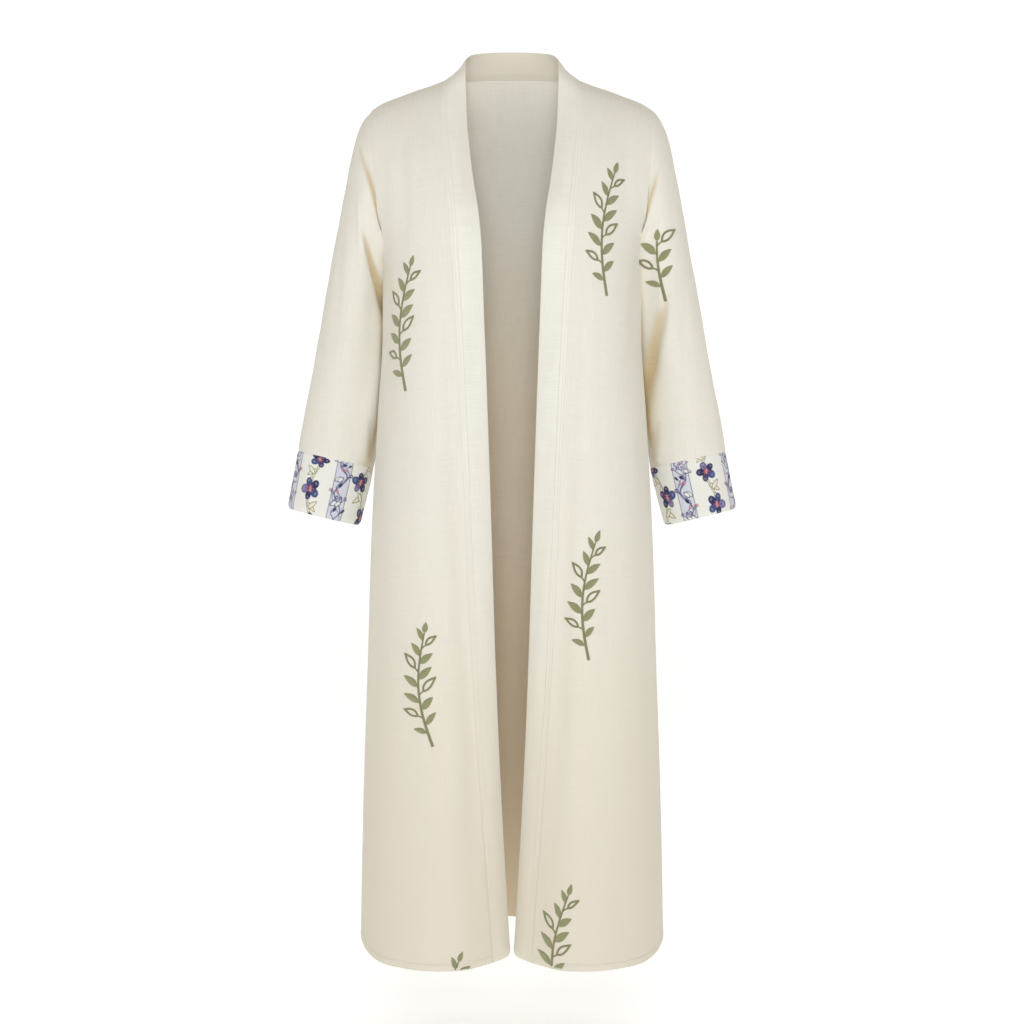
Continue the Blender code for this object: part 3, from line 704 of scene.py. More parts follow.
def node_maker(material):
    """Short ways to add and join a material's nodes."""
    tree = material.node_tree

    def add(kind, **settings):
        node = tree.nodes.new(kind)
        for key, value in settings.items():
            if key in node.inputs:
                node.inputs[key].default_value = value
            else:
                setattr(node, key, value)
        return node

    def join(source, socket, target, name):
        tree.links.new(source.outputs[socket], target.inputs[name])

    def maths(operation, first, second=None):
        node = tree.nodes.new("ShaderNodeMath")
        node.operation = operation
        for index, value in enumerate((first, second)):
            if value is None:
                continue
            if isinstance(value, (int, float)):
                node.inputs[index].default_value = value
            else:
                tree.links.new(value, node.inputs[index])
        return node.outputs[0]

    def ramp(value, low, high, top=1.0):
        node = add("ShaderNodeMapRange")
        node.inputs["From Min"].default_value = low
        node.inputs["From Max"].default_value = high
        node.inputs["To Max"].default_value = top
        tree.links.new(value, node.inputs["Value"])
        return node.outputs["Result"]

    def mix(first, second, share):
        """A mix of two colours, the first of them from a node or a plain one."""
        node = add("ShaderNodeMix", data_type="RGBA")
        if isinstance(first, tuple):
            node.inputs["A"].default_value = (*first, 1)
        else:
            tree.links.new(first, node.inputs["A"])
        node.inputs["B"].default_value = (*second, 1)
        tree.links.new(share, node.inputs["Factor"])
        return node

    return tree, add, join, maths, ramp, mix


SHEEN_TINT = (1, 0.97, 0.9, 1)
CLOTH_ROUGHNESS = 0.88
CLOTH_SHEEN = 0.12
THREAD_ROUGHNESS = 0.5


def new_material(name, roughness, sheen):
    material = bpy.data.materials.new(name)
    material.use_nodes = True
    shader = material.node_tree.nodes["Principled BSDF"]
    shader.inputs["Roughness"].default_value = roughness
    shader.inputs["Specular IOR Level"].default_value = 0.25
    shader.inputs["Sheen Weight"].default_value = sheen
    shader.inputs["Sheen Roughness"].default_value = 0.55
    shader.inputs["Sheen Tint"].default_value = SHEEN_TINT
    return material, shader


# Painted shade: what the shade attribute turns a cloth's colour to, in even steps from 0 to 1
FOLD_SHADE_COLOURS = ((0.56, 0.415, 0.210),)
LINING_SHADE_COLOURS = ((0.93, 0.805, 0.62), (0.635, 0.50, 0.315))


def woven(name, colour, warm, dark, pitch=0.00062, bump=0.35, printed=False, streaks=1.0, folds=FOLD_SHADE_COLOURS):
    """Plain weave with slubs: threads by the cloth's own directions, uneven in height and tone, and painted
    shade where the shade attribute is set.
    """
    material, shader = new_material(name, CLOTH_ROUGHNESS, CLOTH_SHEEN)
    tree, add, join, maths, ramp, mix = node_maker(material)
    place = add("ShaderNodeUVMap", uv_map="cloth")
    apart = add("ShaderNodeSeparateXYZ")
    join(place, "UV", apart, "Vector")
    u, v = apart.outputs["X"], apart.outputs["Y"]

    def stretched(scale_u, scale_v, detail):
        joined = add("ShaderNodeCombineXYZ")
        tree.links.new(maths("MULTIPLY", u, scale_u), joined.inputs["X"])
        tree.links.new(maths("MULTIPLY", v, scale_v), joined.inputs["Y"])
        noise = add("ShaderNodeTexNoise", Scale=1.0, Detail=detail, Roughness=0.55)
        join(joined, "Vector", noise, "Vector")
        return noise.outputs["Fac"]

    warp_slub = stretched(1100.0, 26.0, 2.0)
    weft_slub = stretched(24.0, 1100.0, 2.0)
    drift = stretched(60.0, 5.0, 2.0)
    cross_drift = stretched(5.0, 45.0, 2.0)
    wobble = stretched(300.0, 300.0, 1.0)
    turn = 2 * np.pi / pitch
    wander = maths("MULTIPLY", wobble, 1.6)
    warp = maths("SINE", maths("ADD", maths("MULTIPLY", u, turn), wander))
    weft = maths("SINE", maths("ADD", maths("MULTIPLY", v, turn), wander))
    over = maths("MULTIPLY", warp, weft)
    rib = maths("ADD", maths("ABSOLUTE", warp), maths("ABSOLUTE", weft))
    threads = maths("ADD", maths("MULTIPLY", over, 0.30), maths("MULTIPLY", rib, 0.25))
    slubs = maths("ADD", warp_slub, weft_slub)
    relief = maths("ADD", threads, maths("MULTIPLY", slubs, 1.3))
    raised = add("ShaderNodeBump", Strength=bump, Distance=0.00035)
    tree.links.new(relief, raised.inputs["Height"])
    join(raised, "Normal", shader, "Normal")

    tone = maths("ADD", maths("MULTIPLY", drift, 0.75), maths("MULTIPLY", cross_drift, 0.25))
    source = mix(colour, warm, ramp(tone, 0.35, 0.65)).outputs["Result"]
    # Painted shade: the colour turns to the shade colours where the attribute is set
    painted_shade = add("ShaderNodeAttribute", attribute_name="painted_shade").outputs["Fac"]
    for index, shade_colour in enumerate(folds):
        share = ramp(painted_shade, index / len(folds), (index + 1) / len(folds))
        source = mix(source, shade_colour, share).outputs["Result"]
    if printed:
        source = add("ShaderNodeVertexColor", layer_name="print").outputs["Color"]
    grained = mix(source, dark, ramp(slubs, 0.80, 1.22, 0.38 * streaks))
    if printed:
        grained.blend_type = "MULTIPLY"
    tree.links.new(grained.outputs["Result"], shader.inputs["Base Color"])
    return material


THREAD_PITCH = 0.0005


def thread(name, colour, shade, sheen=0.35):
    """Satin stitch: fine parallel threads across each leaf or stem."""
    material, shader = new_material(name, THREAD_ROUGHNESS, sheen)
    tree, add, join, maths, ramp, mix = node_maker(material)
    place = add("ShaderNodeUVMap", uv_map="cloth")
    apart = add("ShaderNodeSeparateXYZ")
    join(place, "UV", apart, "Vector")
    slant = maths("ADD", apart.outputs["Y"], maths("MULTIPLY", maths("ABSOLUTE", apart.outputs["X"]), 0.8))
    noise = add("ShaderNodeTexNoise", Scale=900.0, Detail=2.0)
    join(place, "UV", noise, "Vector")
    waver = maths("MULTIPLY", noise.outputs["Fac"], 2.5)
    bent = maths("ADD", maths("MULTIPLY", slant, 2 * np.pi / THREAD_PITCH), waver)
    ridge = maths("SINE", bent)
    raised = add("ShaderNodeBump", Strength=0.6, Distance=0.0003)
    tree.links.new(ridge, raised.inputs["Height"])
    join(raised, "Normal", shader, "Normal")
    mixed = mix(shade, colour, ramp(ridge, -1.0, 1.0))
    tree.links.new(mixed.outputs["Result"], shader.inputs["Base Color"])
    return material


LINEN = woven("linen_cream", (0.79, 0.768, 0.698), (0.81, 0.768, 0.695), (0.67, 0.63, 0.54))
# Painted light and shade: the linings' linen is painted lighter than the outer face's, then darkened by the
# lining shade colours
LINING_PAINTED_LIGHT_SHADE = woven("linen_inside_painted_light_shade", (0.865, 0.835, 0.765), (0.87, 0.83, 0.755), (0.72, 0.68, 0.60),
                     folds=LINING_SHADE_COLOURS)
# Painted light: the band's linen is given a lighter colour than the body's
BAND_LINEN_PAINTED_LIGHT = woven("linen_band_painted_light", (0.863, 0.838, 0.770), (0.870, 0.842, 0.776), (0.72, 0.68, 0.59))
CUFF_COTTON = woven("cotton_printed", (0.8, 0.8, 0.8), (0.8, 0.8, 0.8), (0.80, 0.79, 0.77),
                    pitch=0.0004, bump=0.25, printed=True, streaks=0.6)
GREEN_THREAD = thread("thread_green", (0.382, 0.390, 0.200), (0.262, 0.268, 0.125))
DARK_GREEN_THREAD = thread("thread_green_outline", (0.322, 0.318, 0.158), (0.216, 0.213, 0.102))
CREAM_THREAD = thread("thread_cream", (0.84, 0.78, 0.67), (0.76, 0.69, 0.57), sheen=0.2)


# Rows and columns of the fine grids
ARMHOLE_ROWS = 40
HEM_ROWS = (0.0005, 0.0020, 0.0045, 0.0070, 0.0086, 0.0096, 0.0103, 0.0110, 0.0122, 0.0150, 0.0200)
ROW_STEP = 0.0062
# Rows closer than this above the armhole's foot would fold over each other
FOOT_SPACE = 0.0025


def fine_drops():
    turns = np.radians(np.linspace(0, 180, ARMHOLE_ROWS + 1))
    armhole = UNDERARM_DROP / 2 * (1 - np.cos(turns))
    armhole = armhole[armhole < UNDERARM_DROP - FOOT_SPACE]
    count = int((BODY_LENGTH - HEM_ZONE - UNDERARM_DROP) / ROW_STEP)
    lower = np.linspace(UNDERARM_DROP, BODY_LENGTH - HEM_ZONE, count)
    hem = BODY_LENGTH - np.array(HEM_ROWS)[::-1]
    return np.concatenate((armhole, lower, hem, [BODY_LENGTH]))


def edge_shares(width, step, both=True):
    """Column places from 0 to 1, close together beside the seams."""
    close = np.array((0.0, 0.0009, 0.0018, 0.0030, 0.0048, 0.0072, 0.0105)) / width
    end = 1 - close[::-1] if both else np.array((1.0,))
    middle = np.linspace(close[-1], end[0], max(int((end[0] - close[-1]) * width / step), 2))[1:-1]
    return np.concatenate((close, middle, end))


def sunk(distance):
    """How far the cloth is drawn in beside a seam."""
    return -SEAM_SINK * np.exp(-(distance / SEAM_SINK_WIDTH) ** 2)


def hem_lift(drop):
    """The turned-up hem stands a little proud below its row of stitches."""
    return HEM_STEP * ease((drop - (BODY_LENGTH - HEM_DEPTH - 0.0006)) / 0.0018)


def hem_fall(x, drop):
    """The fronts hang a little lower at the hem between the band and the side."""
    across = ease((x - 0.03) / 0.05) * (1 - ease((x - 0.19) / 0.045))
    return -HEM_FALL * across * ease((drop - HEM_FALL_TOP) / (BODY_LENGTH - HEM_FALL_TOP))


def hem_corner(x, drop):
    """The hem turns up softly into the side seam."""
    near_side = np.exp(-((outer_edge(drop)[0] - np.abs(x)) / HEM_SIDE_WIDTH) ** 2)
    return HEM_SIDE_RISE * near_side * ease((drop - HEM_SIDE_TOP) / (BODY_LENGTH - HEM_SIDE_TOP))


def rounded_shoulder(grid):
    """Cloth bends over the shoulder's point softly: draws it in there."""
    away = np.hypot(np.abs(grid[..., 0]) - SHOULDER_X, grid[..., 2] - SHOULDER_Z + 0.004)
    near = np.exp(-(away / SHOULDER_ROUND) ** 2)
    moved = grid.copy()
    moved[..., 0] -= np.sign(grid[..., 0]) * SHOULDER_IN * near
    moved[..., 2] -= SHOULDER_DOWN * near
    return moved


# Places inside the cloth, behind a front and in front of the back
BEHIND_FRONT = (0.1, 0.2, -0.7)
BEFORE_BACK = (0, -0.2, -0.7)


def outward(grid, normals, away):
    """Normals turned to point away from a place inside the cloth."""
    side = np.einsum("ijk,ijk->ij", grid - np.asarray(away), normals).mean()
    return normals if side > 0 else -normals


def on_side(hand, grid, normals):
    """Pieces are made for the left side, and mirrored for the right."""
    flip = np.array((-1.0 if hand == "right" else 1.0, 1.0, 1.0))
    return grid * flip, normals * flip


def eased_underarm(grid, drops, from_side):
    """The cloth runs over the armhole's foot without a sharp bend."""
    spacing = np.gradient(drops)
    weights = np.exp(-((drops[:, None] - drops[None, :]) / UNDERARM_EASE) ** 2) * spacing[None, :]
    smoothed = weights @ grid[..., 1] / weights.sum(axis=1, keepdims=True)
    share = np.exp(-((drops[:, None] - UNDERARM_DROP) / 0.05) ** 2) * ease(from_side / 0.010)
    eased = grid.copy()
    eased[..., 1] = grid[..., 1] * (1 - share) + smoothed * share
    return eased


def side_sink(from_side, drop):
    """The side seam is drawn in, the armhole's seam hardly."""
    return sunk(from_side) * np.where(drop < UNDERARM_DROP, ARMHOLE_SINK, 1.0)


def make_front(hand):
    drops = fine_drops()
    shares = edge_shares(0.13, 0.0042)
    grid = front_points(shares[None, :], drops[:, None], hand)
    normals = outward(grid, grid_normals(grid), BEHIND_FRONT)
    across = length_across(grid)
    from_side = across[:, -1:] - across
    grid = eased_underarm(grid, drops, from_side)
    keep = ease(across / 0.010) * ease(from_side / 0.012) * ease(drops[:, None] / 0.02)
    x = grid[..., 0]
    drop = drops[:, None] + 0 * x
    lift = crease_height(FRONT_CREASES[hand], x, drop) * keep
    lift = lift + unevenness(x, drop, 11 if hand == "left" else 12) * keep
    lift = lift + sunk(across) * BAND_SINK + side_sink(from_side, drop) + hem_lift(drop)
    grid = grid + normals * lift[..., None]
    grid[..., 2] += hem_fall(x, drop) + hem_corner(x, drop)
    grid = rounded_shoulder(grid)
    normals = outward(grid, grid_normals(grid), BEHIND_FRONT)
    uv = np.stack((across - across.mean(axis=1, keepdims=True), -drop), axis=-1)
    grid, normals = on_side(hand, grid, normals)
    return grid, normals, uv, lower_painted_shade(drop), lining_painted_shade(drop, grid[..., 0])


def lower_painted_shade(drop):
    """Painted shade: the cloth is painted a little warmer and darker towards the hem."""
    return LOWER_SHADE_STRENGTH * ease((drop - 0.50) / 0.75)


def lining_painted_shade(drop, x):
    """Painted shade on the linings: warmer and darker lower down, where light has passed from cloth to cloth,
    and a little darker on the wearer's right.
    """
    upper = 0.50 * ease((drop - 0.14) / 0.44)
    lower = 0.33 * ease((drop - 0.65) / 0.50)
    return upper + lower - 0.05 * np.clip(x / 0.04, -1, 1)


def make_back():
    drops = fine_drops()
    neck_share = NECK_SIDE_X / SHOULDER_X
    angles = np.radians(np.concatenate((np.linspace(0, 60, 15), np.linspace(64, 84, 6), (86.5, 88.5, 89.6))))
    neck = neck_share * np.sin(angles)
    outer = neck_share + (1 - neck_share) * edge_shares(0.112, 0.0046)[1:]
    right = np.concatenate((neck[1:], outer))
    shares = np.concatenate((-right[::-1], [0.0], right))
    grid = back_points(shares[None, :], drops[:, None])
    x = grid[..., 0]
    drop = drops[:, None] + 0 * x
    from_side = outer_edge(drop)[0] - np.abs(x)
    grid = eased_underarm(grid, drops, from_side)
    normals = outward(grid, grid_normals(grid), BEFORE_BACK)
    keep = ease(from_side / 0.014) * ease(drop / 0.03)
    lift = crease_height(BACK_CREASES, x, drop) * keep + unevenness(x, drop, 13, 0.0005) * keep
    lift = lift + side_sink(from_side, drop) + hem_lift(drop)
    grid = rounded_shoulder(grid + normals * lift[..., None])
    grid[..., 2] += hem_corner(x, drop)
    normals = outward(grid, grid_normals(grid), BEFORE_BACK)
    uv = np.stack((x, -drop), axis=-1)
    return grid, normals, uv, lower_painted_shade(drop), lining_painted_shade(drop, x)


def band_lines():
    """The band's seam and free edge, row by row from the centre back to the hem."""
    turns = np.radians(np.concatenate(((0.0, 0.25), np.linspace(2.0, 88.5, NECK_ROWS - 2))))
    back_seam = neck_seam(turns)
    lead = ease((np.degrees(turns) - 70) / 19)[:, None]
    collar_x = COLLAR_SIDE_X * np.sin(turns)
    collar_y = COLLAR_SIDE_Y + (COLLAR_BACK_Y - COLLAR_SIDE_Y) * np.cos(turns)
    dip = COLLAR_DIP * np.sin(turns) ** COLLAR_DIP_POWER
    collar_z = COLLAR_TOP_Z - COLLAR_SAG * np.sin(turns) ** COLLAR_SAG_POWER - dip
    back_edge = np.stack((collar_x, collar_y, collar_z), axis=-1)
    back_edge = back_edge * (1 - lead) + np.stack((0 * dip + COLLAR_END[0], 0 * dip + COLLAR_END[1],
                                                   collar_z), axis=-1) * lead
    drops = fine_drops()
    front_seam = front_points(np.zeros_like(drops), drops, "left")
    across = body("seam", drops) - body("edge", drops)
    rise = body("rise", drops)
    inward = np.sqrt(np.maximum(BAND_WIDTH ** 2 - across ** 2 - rise ** 2, 0))
    front_edge = front_seam + np.stack((-across, inward, rise), axis=-1)
    return np.concatenate((back_seam, front_seam)), np.concatenate((back_edge, front_edge)), len(turns)


def make_band(hand):
    seam, edge, start = band_lines()
    down = np.gradient(seam, axis=0)
    out = np.cross(down, edge - seam)
    out = out / np.linalg.norm(out, axis=1, keepdims=True)
    if out[len(out) // 2, 1] > 0:
        out = -out
    close = np.array((0.0, 0.0008, 0.0018, 0.0032, 0.0050, 0.0072)) / BAND_WIDTH
    far = 1 - np.array((0.0, 0.0009, 0.0022, 0.0045))[::-1] / BAND_WIDTH
    shares = np.concatenate((close, np.linspace(close[-1], far[0], 11)[1:-1], far))
    grid = seam[:, None] * (1 - shares[None, :, None]) + edge[:, None] * shares[None, :, None]
    below_neck = np.concatenate((np.zeros(start), ease(fine_drops() / COLLAR_HOLLOW_DROP)))
    crown = ((BAND_CROWN + COLLAR_HOLLOW) * below_neck - COLLAR_HOLLOW)[:, None] * 4 * shares * (1 - shares)
    length = length_along(seam)
    seed = 21 if hand == "left" else 22
    wavy = unevenness(shares[None, :] * BAND_WIDTH, length[:, None] * 0.8, seed, 0.00035)
    lift = crown + sunk(shares * BAND_WIDTH) * BAND_SINK + wavy * (4 * shares * (1 - shares))
    for row_at in BAND_STITCHES:
        lift = lift - STITCH_DIP * np.exp(-((shares * BAND_WIDTH - row_at) / 0.0011) ** 2)
    grid = grid + out[:, None] * lift[..., None]
    grid[0, :, 0] = SEAM_GAP / 2
    corner = np.clip((shares * BAND_WIDTH - (BAND_WIDTH - HEM_CORNER)) / HEM_CORNER, 0, 1)
    near_hem = np.concatenate((np.zeros(start), ease(1 - (BODY_LENGTH - fine_drops()) / (3 * HEM_CORNER))))
    grid[..., 2] += near_hem[:, None] * HEM_CORNER * (1 - np.sqrt(1 - 0.97 * corner ** 2))
    normals = grid_normals(grid)
    if np.einsum("ijk,ik->ij", normals, out).mean() < 0:
        normals = -normals
    uv = np.stack(np.broadcast_arrays(shares[None, :] * BAND_WIDTH, -length[:, None]), axis=-1)
    drops = np.concatenate((np.zeros(start), fine_drops()))[:, None] + 0 * uv[..., 0]
    grid, normals = on_side(hand, grid, normals)
    # Painted shade: the band darkens towards the hem and near the neck, and more on the collar's inside
    shades = BAND_PAINTED_SHADE * lower_painted_shade(drops) + 0.06 * ease(1 - drops / 0.30)
    return grid, normals, uv, shades, shades + NECK_PAINTED_SHADE * ease(1 - drops / 0.06)


# Rows of topstitching on the band, from its seam
BAND_STITCHES = (0.0030, 0.0085)
STITCH_DIP = 0.00016
NECK_ROWS = 34
SLEEVE_COLUMNS = 120
CUFF_COLUMNS = 420
CUFF_ROWS = 112
CUFF_ROUND = 0.010
CUFF_LENGTH = 0.0895
CUFF_TUCK = 0.0050


def on_sleeve(table, row, degrees):
    """Sum of the lines of a table that are given by sleeve rows and degrees."""
    scaled = [table[0]]
    for line, start, end, rise in table[1:]:
        points = tuple((r * SLEEVE_ROW_LENGTH, d * SLEEVE_DEGREE_LENGTH) for r, d in line)
        scaled.append((points, start, end, rise))
    return crease_height(scaled, row * SLEEVE_ROW_LENGTH, degrees * SLEEVE_DEGREE_LENGTH)


def sleeve_lift(hand, row, degrees):
    keep = ease(row / 0.25) * ease((CUFF_ROW - row) / 0.35)
    lift = on_sleeve(SLEEVE_CREASES[hand], row, degrees)
    across = np.sin(np.radians(degrees)) * 0.07
    waves = unevenness(row * SLEEVE_ROW_LENGTH * 0.5, across, 31 if hand == "left" else 32, 0.0005)
    return (lift + waves) * keep


def make_sleeve(hand):
    rows = np.concatenate(((0.0, 0.03, 0.07, 0.12), np.linspace(0.18, CUFF_ROW - 0.18, 112),
                           (CUFF_ROW - 0.12, CUFF_ROW - 0.07, CUFF_ROW - 0.03, CUFF_ROW)))
    degrees = np.arange(SLEEVE_COLUMNS) * 360 / SLEEVE_COLUMNS
    grid = sleeve_points(rows[:, None], np.radians(degrees)[None, :])
    normals = outward(grid, grid_normals(grid, closed=True), grid.mean(axis=1, keepdims=True))
    row = rows[:, None] + 0 * degrees[None, :]
    angle = degrees[None, :] + 0 * row
    lift = sleeve_lift(hand, row, angle)
    along = row * SLEEVE_ROW_LENGTH
    lift = lift + sunk(along) * ARMHOLE_SINK + sunk((CUFF_ROW - row) * LAST_ROW_LENGTH) * 0.9
    press = np.exp(-((angle - 165) / 38) ** 2) * ease((row - 0.4) / 1.6) * ease((9.0 - row) / 3.0)
    lift = lift + SLEEVE_PRESS * press
    # Painted warm shade along the sleeve's folds
    shades = np.clip(on_sleeve(SLEEVE_PAINTED_SHADE[hand], row, angle), 0, 1.1)
    grid = rounded_shoulder(grid + normals * lift[..., None])
    flipped = grid_normals(grid, closed=True)
    sign = np.sign(np.einsum("ijk,ijk->ij", flipped, normals).mean())
    normals = flipped * sign
    uv = np.stack((length_across(grid), -along), axis=-1)
    grid, normals = on_side(hand, grid, normals)
    return grid, normals, uv, shades


# The print: stripes of flowers on a stem and of fine vines on lavender
PRINT_WHITE = (0.80, 0.785, 0.745)
PRINT_LAVENDER = (0.67, 0.67, 0.765)
PRINT_LILAC = (0.58, 0.54, 0.70)
PRINT_NAVY = (0.024, 0.030, 0.110)
PRINT_BLUE = (0.048, 0.085, 0.235)
PRINT_PURPLE = (0.075, 0.050, 0.150)
PRINT_VIOLET = (0.200, 0.170, 0.330)
PRINT_RED = (0.400, 0.090, 0.130)
PRINT_ROSE = (0.640, 0.300, 0.300)
PRINT_INK = (0.020, 0.020, 0.060)
PRINT_BROWN = (0.235, 0.205, 0.120)
PRINT_CREAM = (0.79, 0.76, 0.62)
PRINT_VINE = (0.110, 0.125, 0.230)
PRINT_SOFT = 0.0004
PRINT_STRIPES = 4
PRINT_SHIFT = 0.021
VINE_HALF = 0.0120


def paint_over(colours, distance, colour):
    """Colours the points whose distance to a shape is below 0."""
    share = ease(0.5 - distance / (2 * PRINT_SOFT))[..., None]
    return colours * (1 - share) + np.array(colour) * share


def ellipse_distance(u, v, centre, half_long, half_wide, angle):
    """Rough distance to an ellipse."""
    du, dv = u - centre[0], v - centre[1]
    along = (du * np.cos(angle) + dv * np.sin(angle)) / half_long
    across = (-du * np.sin(angle) + dv * np.cos(angle)) / half_wide
    size = np.hypot(along, across)
    return (size - 1) * min(half_long, half_wide)


def line_distance(u, v, points):
    """Distance to a line through points."""
    nearest = np.full(u.shape, np.inf)
    for start, end in zip(points[:-1], points[1:]):
        nearest = np.minimum(nearest, to_segment(u, v, start, end)[1])
    return nearest


def paint_flower(colours, u, v, centre, size, turn, petals):
    """Round petals, each with a dark rim and a lighter heart, about a red centre."""
    for index, (share, colour) in enumerate(petals):
        angle = turn + 2 * np.pi * index / len(petals)
        way = np.array((np.cos(angle), np.sin(angle)))
        middle = np.array(centre) + way * size * 0.60
        distance = ellipse_distance(u, v, middle, size * 0.43 * share, size * 0.35 * share, angle)
        colours = paint_over(colours, distance - 0.0002, PRINT_INK)
        colours = paint_over(colours, distance + 0.0005, colour)
        heart = np.array(centre) + way * size * 0.74
        distance = ellipse_distance(u, v, heart, size * 0.11 * share, size * 0.15 * share, angle)
        lighter = tuple(0.75 * c + 0.25 * p for c, p in zip(colour, PRINT_LILAC))
        colours = paint_over(colours, distance, lighter)
        vein = line_distance(u, v, [centre, tuple(middle)])
        colours = paint_over(colours, vein - 0.0003, PRINT_INK)
    for ray in range(7):
        angle = turn + 2 * np.pi * ray / 7 + 0.2
        tip = (centre[0] + np.cos(angle) * size * 0.36, centre[1] + np.sin(angle) * size * 0.36)
        colours = paint_over(colours, line_distance(u, v, [centre, tip]) - 0.0007, PRINT_RED)
    return paint_over(colours, np.hypot(u - centre[0], v - centre[1]) - size * 0.09, PRINT_ROSE)


def paint_leaf(colours, u, v, base, angle, length, width):
    """A pointed leaf with a brown rim and a cream middle."""
    along = (u - base[0]) * np.cos(angle) + (v - base[1]) * np.sin(angle)
    across = -(u - base[0]) * np.sin(angle) + (v - base[1]) * np.cos(angle)
    share = np.clip(along / length, 0, 1)
    half = width / 2 * np.sin(np.pi * share ** 0.8)
    distance = np.where((along > 0) & (along < length), np.abs(across) - half, 0.01)
    colours = paint_over(colours, distance - 0.0005, PRINT_BROWN)
    return paint_over(colours, distance + 0.0006, PRINT_CREAM)


def winding(middle, reach, pitch, shift, v):
    """How far across a winding line is at a height."""
    return middle + reach * np.sin(2 * np.pi * (v / pitch + shift))


def wave(middle, reach, pitch, shift):
    """A line that winds down a stripe."""
    return [(winding(middle, reach, pitch, shift, v), v) for v in np.linspace(-0.01, 0.11, 56)]


def paint_vines(colours, u, v, middle, half, index):
    """A lavender stripe of winding twigs, buds and small leaves."""
    offset = u - middle
    inside = np.abs(offset) - half
    colours = paint_over(colours, inside, PRINT_LAVENDER)
    veil = 0.5 + 0.5 * np.sin(u * 900 + 3 * np.sin(v * 260 + index)) * np.sin(v * 410 + 2 * np.sin(u * 330))
    colours = colours * (1 - 0.10 * (veil * ease(0.5 - inside / 0.001))[..., None])
    strands = ((0.62, 0.046, 0.13 * index, 0.00085), (0.55, 0.033, 0.5 + 0.21 * index, 0.00065),
               (0.80, 0.061, 0.3 + 0.17 * index, 0.00050))
    for reach, pitch, shift, thick in strands:
        line = wave(middle, half * reach, pitch, shift)
        colours = paint_over(colours, line_distance(u, v, line) - thick, PRINT_VINE)
        for step in range(13):
            place = step * 0.0082 + 0.003 * index
            x = winding(middle, half * reach, pitch, shift, place)
            side = 1 if (step + index) % 2 else -1
            tip = (x + side * half * 0.42, place - 0.0052)
            colours = paint_over(colours, line_distance(u, v, [(x, place), tip]) - 0.00055, PRINT_VINE)
            kind = (step + 2 * index) % 4
            if kind == 0:
                ring = np.hypot(u - tip[0], v - tip[1])
                colours = paint_over(colours, ring - 0.0026, PRINT_PURPLE)
                colours = paint_over(colours, ring - 0.0012, PRINT_LILAC)
            elif kind == 2:
                shape = ellipse_distance(u, v, tip, 0.0036, 0.0018, -0.9 * side)
                colours = paint_over(colours, shape, PRINT_NAVY)
            elif kind == 1:
                shape = ellipse_distance(u, v, tip, 0.0050, 0.0025, 0.7 * side)
                colours = paint_over(colours, shape, PRINT_WHITE)
                colours = paint_over(colours, np.abs(shape) - 0.0004, PRINT_VINE)
            else:
                ring = np.abs(u - tip[0]) + np.abs(v - tip[1])
                colours = paint_over(colours, ring - 0.0027, PRINT_RED if step % 2 else PRINT_BLUE)
                colours = paint_over(colours, ring - 0.0010, PRINT_WHITE)
    return paint_over(colours, np.abs(inside) - 0.0005, PRINT_VINE)


BLOOM_REACH = 0.0075
BLOOM_PITCH = 0.104
BLOOM_STEP = 0.047
BLOOM_SIZE = 0.0155


def paint_blooms(colours, u, v, middle, index):
    """A white stripe: a double-lined stem that winds between flowers."""
    stem = (middle, BLOOM_REACH, BLOOM_PITCH, 0.25 * index)
    distance = line_distance(u, v, wave(*stem))
    colours = paint_over(colours, distance - 0.0020, PRINT_BROWN)
    colours = paint_over(colours, distance - 0.0010, PRINT_CREAM)
    for step in range(-1, 4):
        base = step * BLOOM_STEP + (0.006 if index % 2 else 0.029)
        side = 1 if (step + index) % 2 else -1
        x = winding(*stem, base)
        for rise, way, length in ((0.019, 0.9, 0.0165), (0.026, -0.7, 0.0150), (0.031, 0.35, 0.0125)):
            at = winding(*stem, base + rise)
            angle = np.pi / 2 - way * side * 1.1 if way > 0 else -np.pi / 2 - way * side * 1.2
            colours = paint_leaf(colours, u, v, (at, base + rise), angle, length * 1.15, 0.0064)
        palette = (PRINT_NAVY, PRINT_PURPLE, PRINT_BLUE, PRINT_NAVY, PRINT_VIOLET, PRINT_BLUE)
        shift = (2 * step + index) % 6
        sizes = (1.0, 0.86, 1.08, 0.92, 1.0)
        petals = [(sizes[i], palette[(i + shift) % 6]) for i in range(5)]
        turn = 0.5 * step + 0.3 * index
        colours = paint_flower(colours, u, v, (x + side * 0.004, base), BLOOM_SIZE, turn, petals)
    return colours


def cuff_print(u, v, around):
    """The cuff's colours. u: metres round the cuff, v: metres from its seam, around: its girth."""
    period = around / PRINT_STRIPES
    colours = np.zeros(u.shape + (3,)) + np.array(PRINT_WHITE)
    for index in range(-1, PRINT_STRIPES + 1):
        stripe = index % PRINT_STRIPES
        colours = paint_blooms(colours, u, v, (index + 0.75) * period, stripe)
        colours = paint_vines(colours, u, v, (index + 0.25) * period, VINE_HALF, stripe)
    return colours


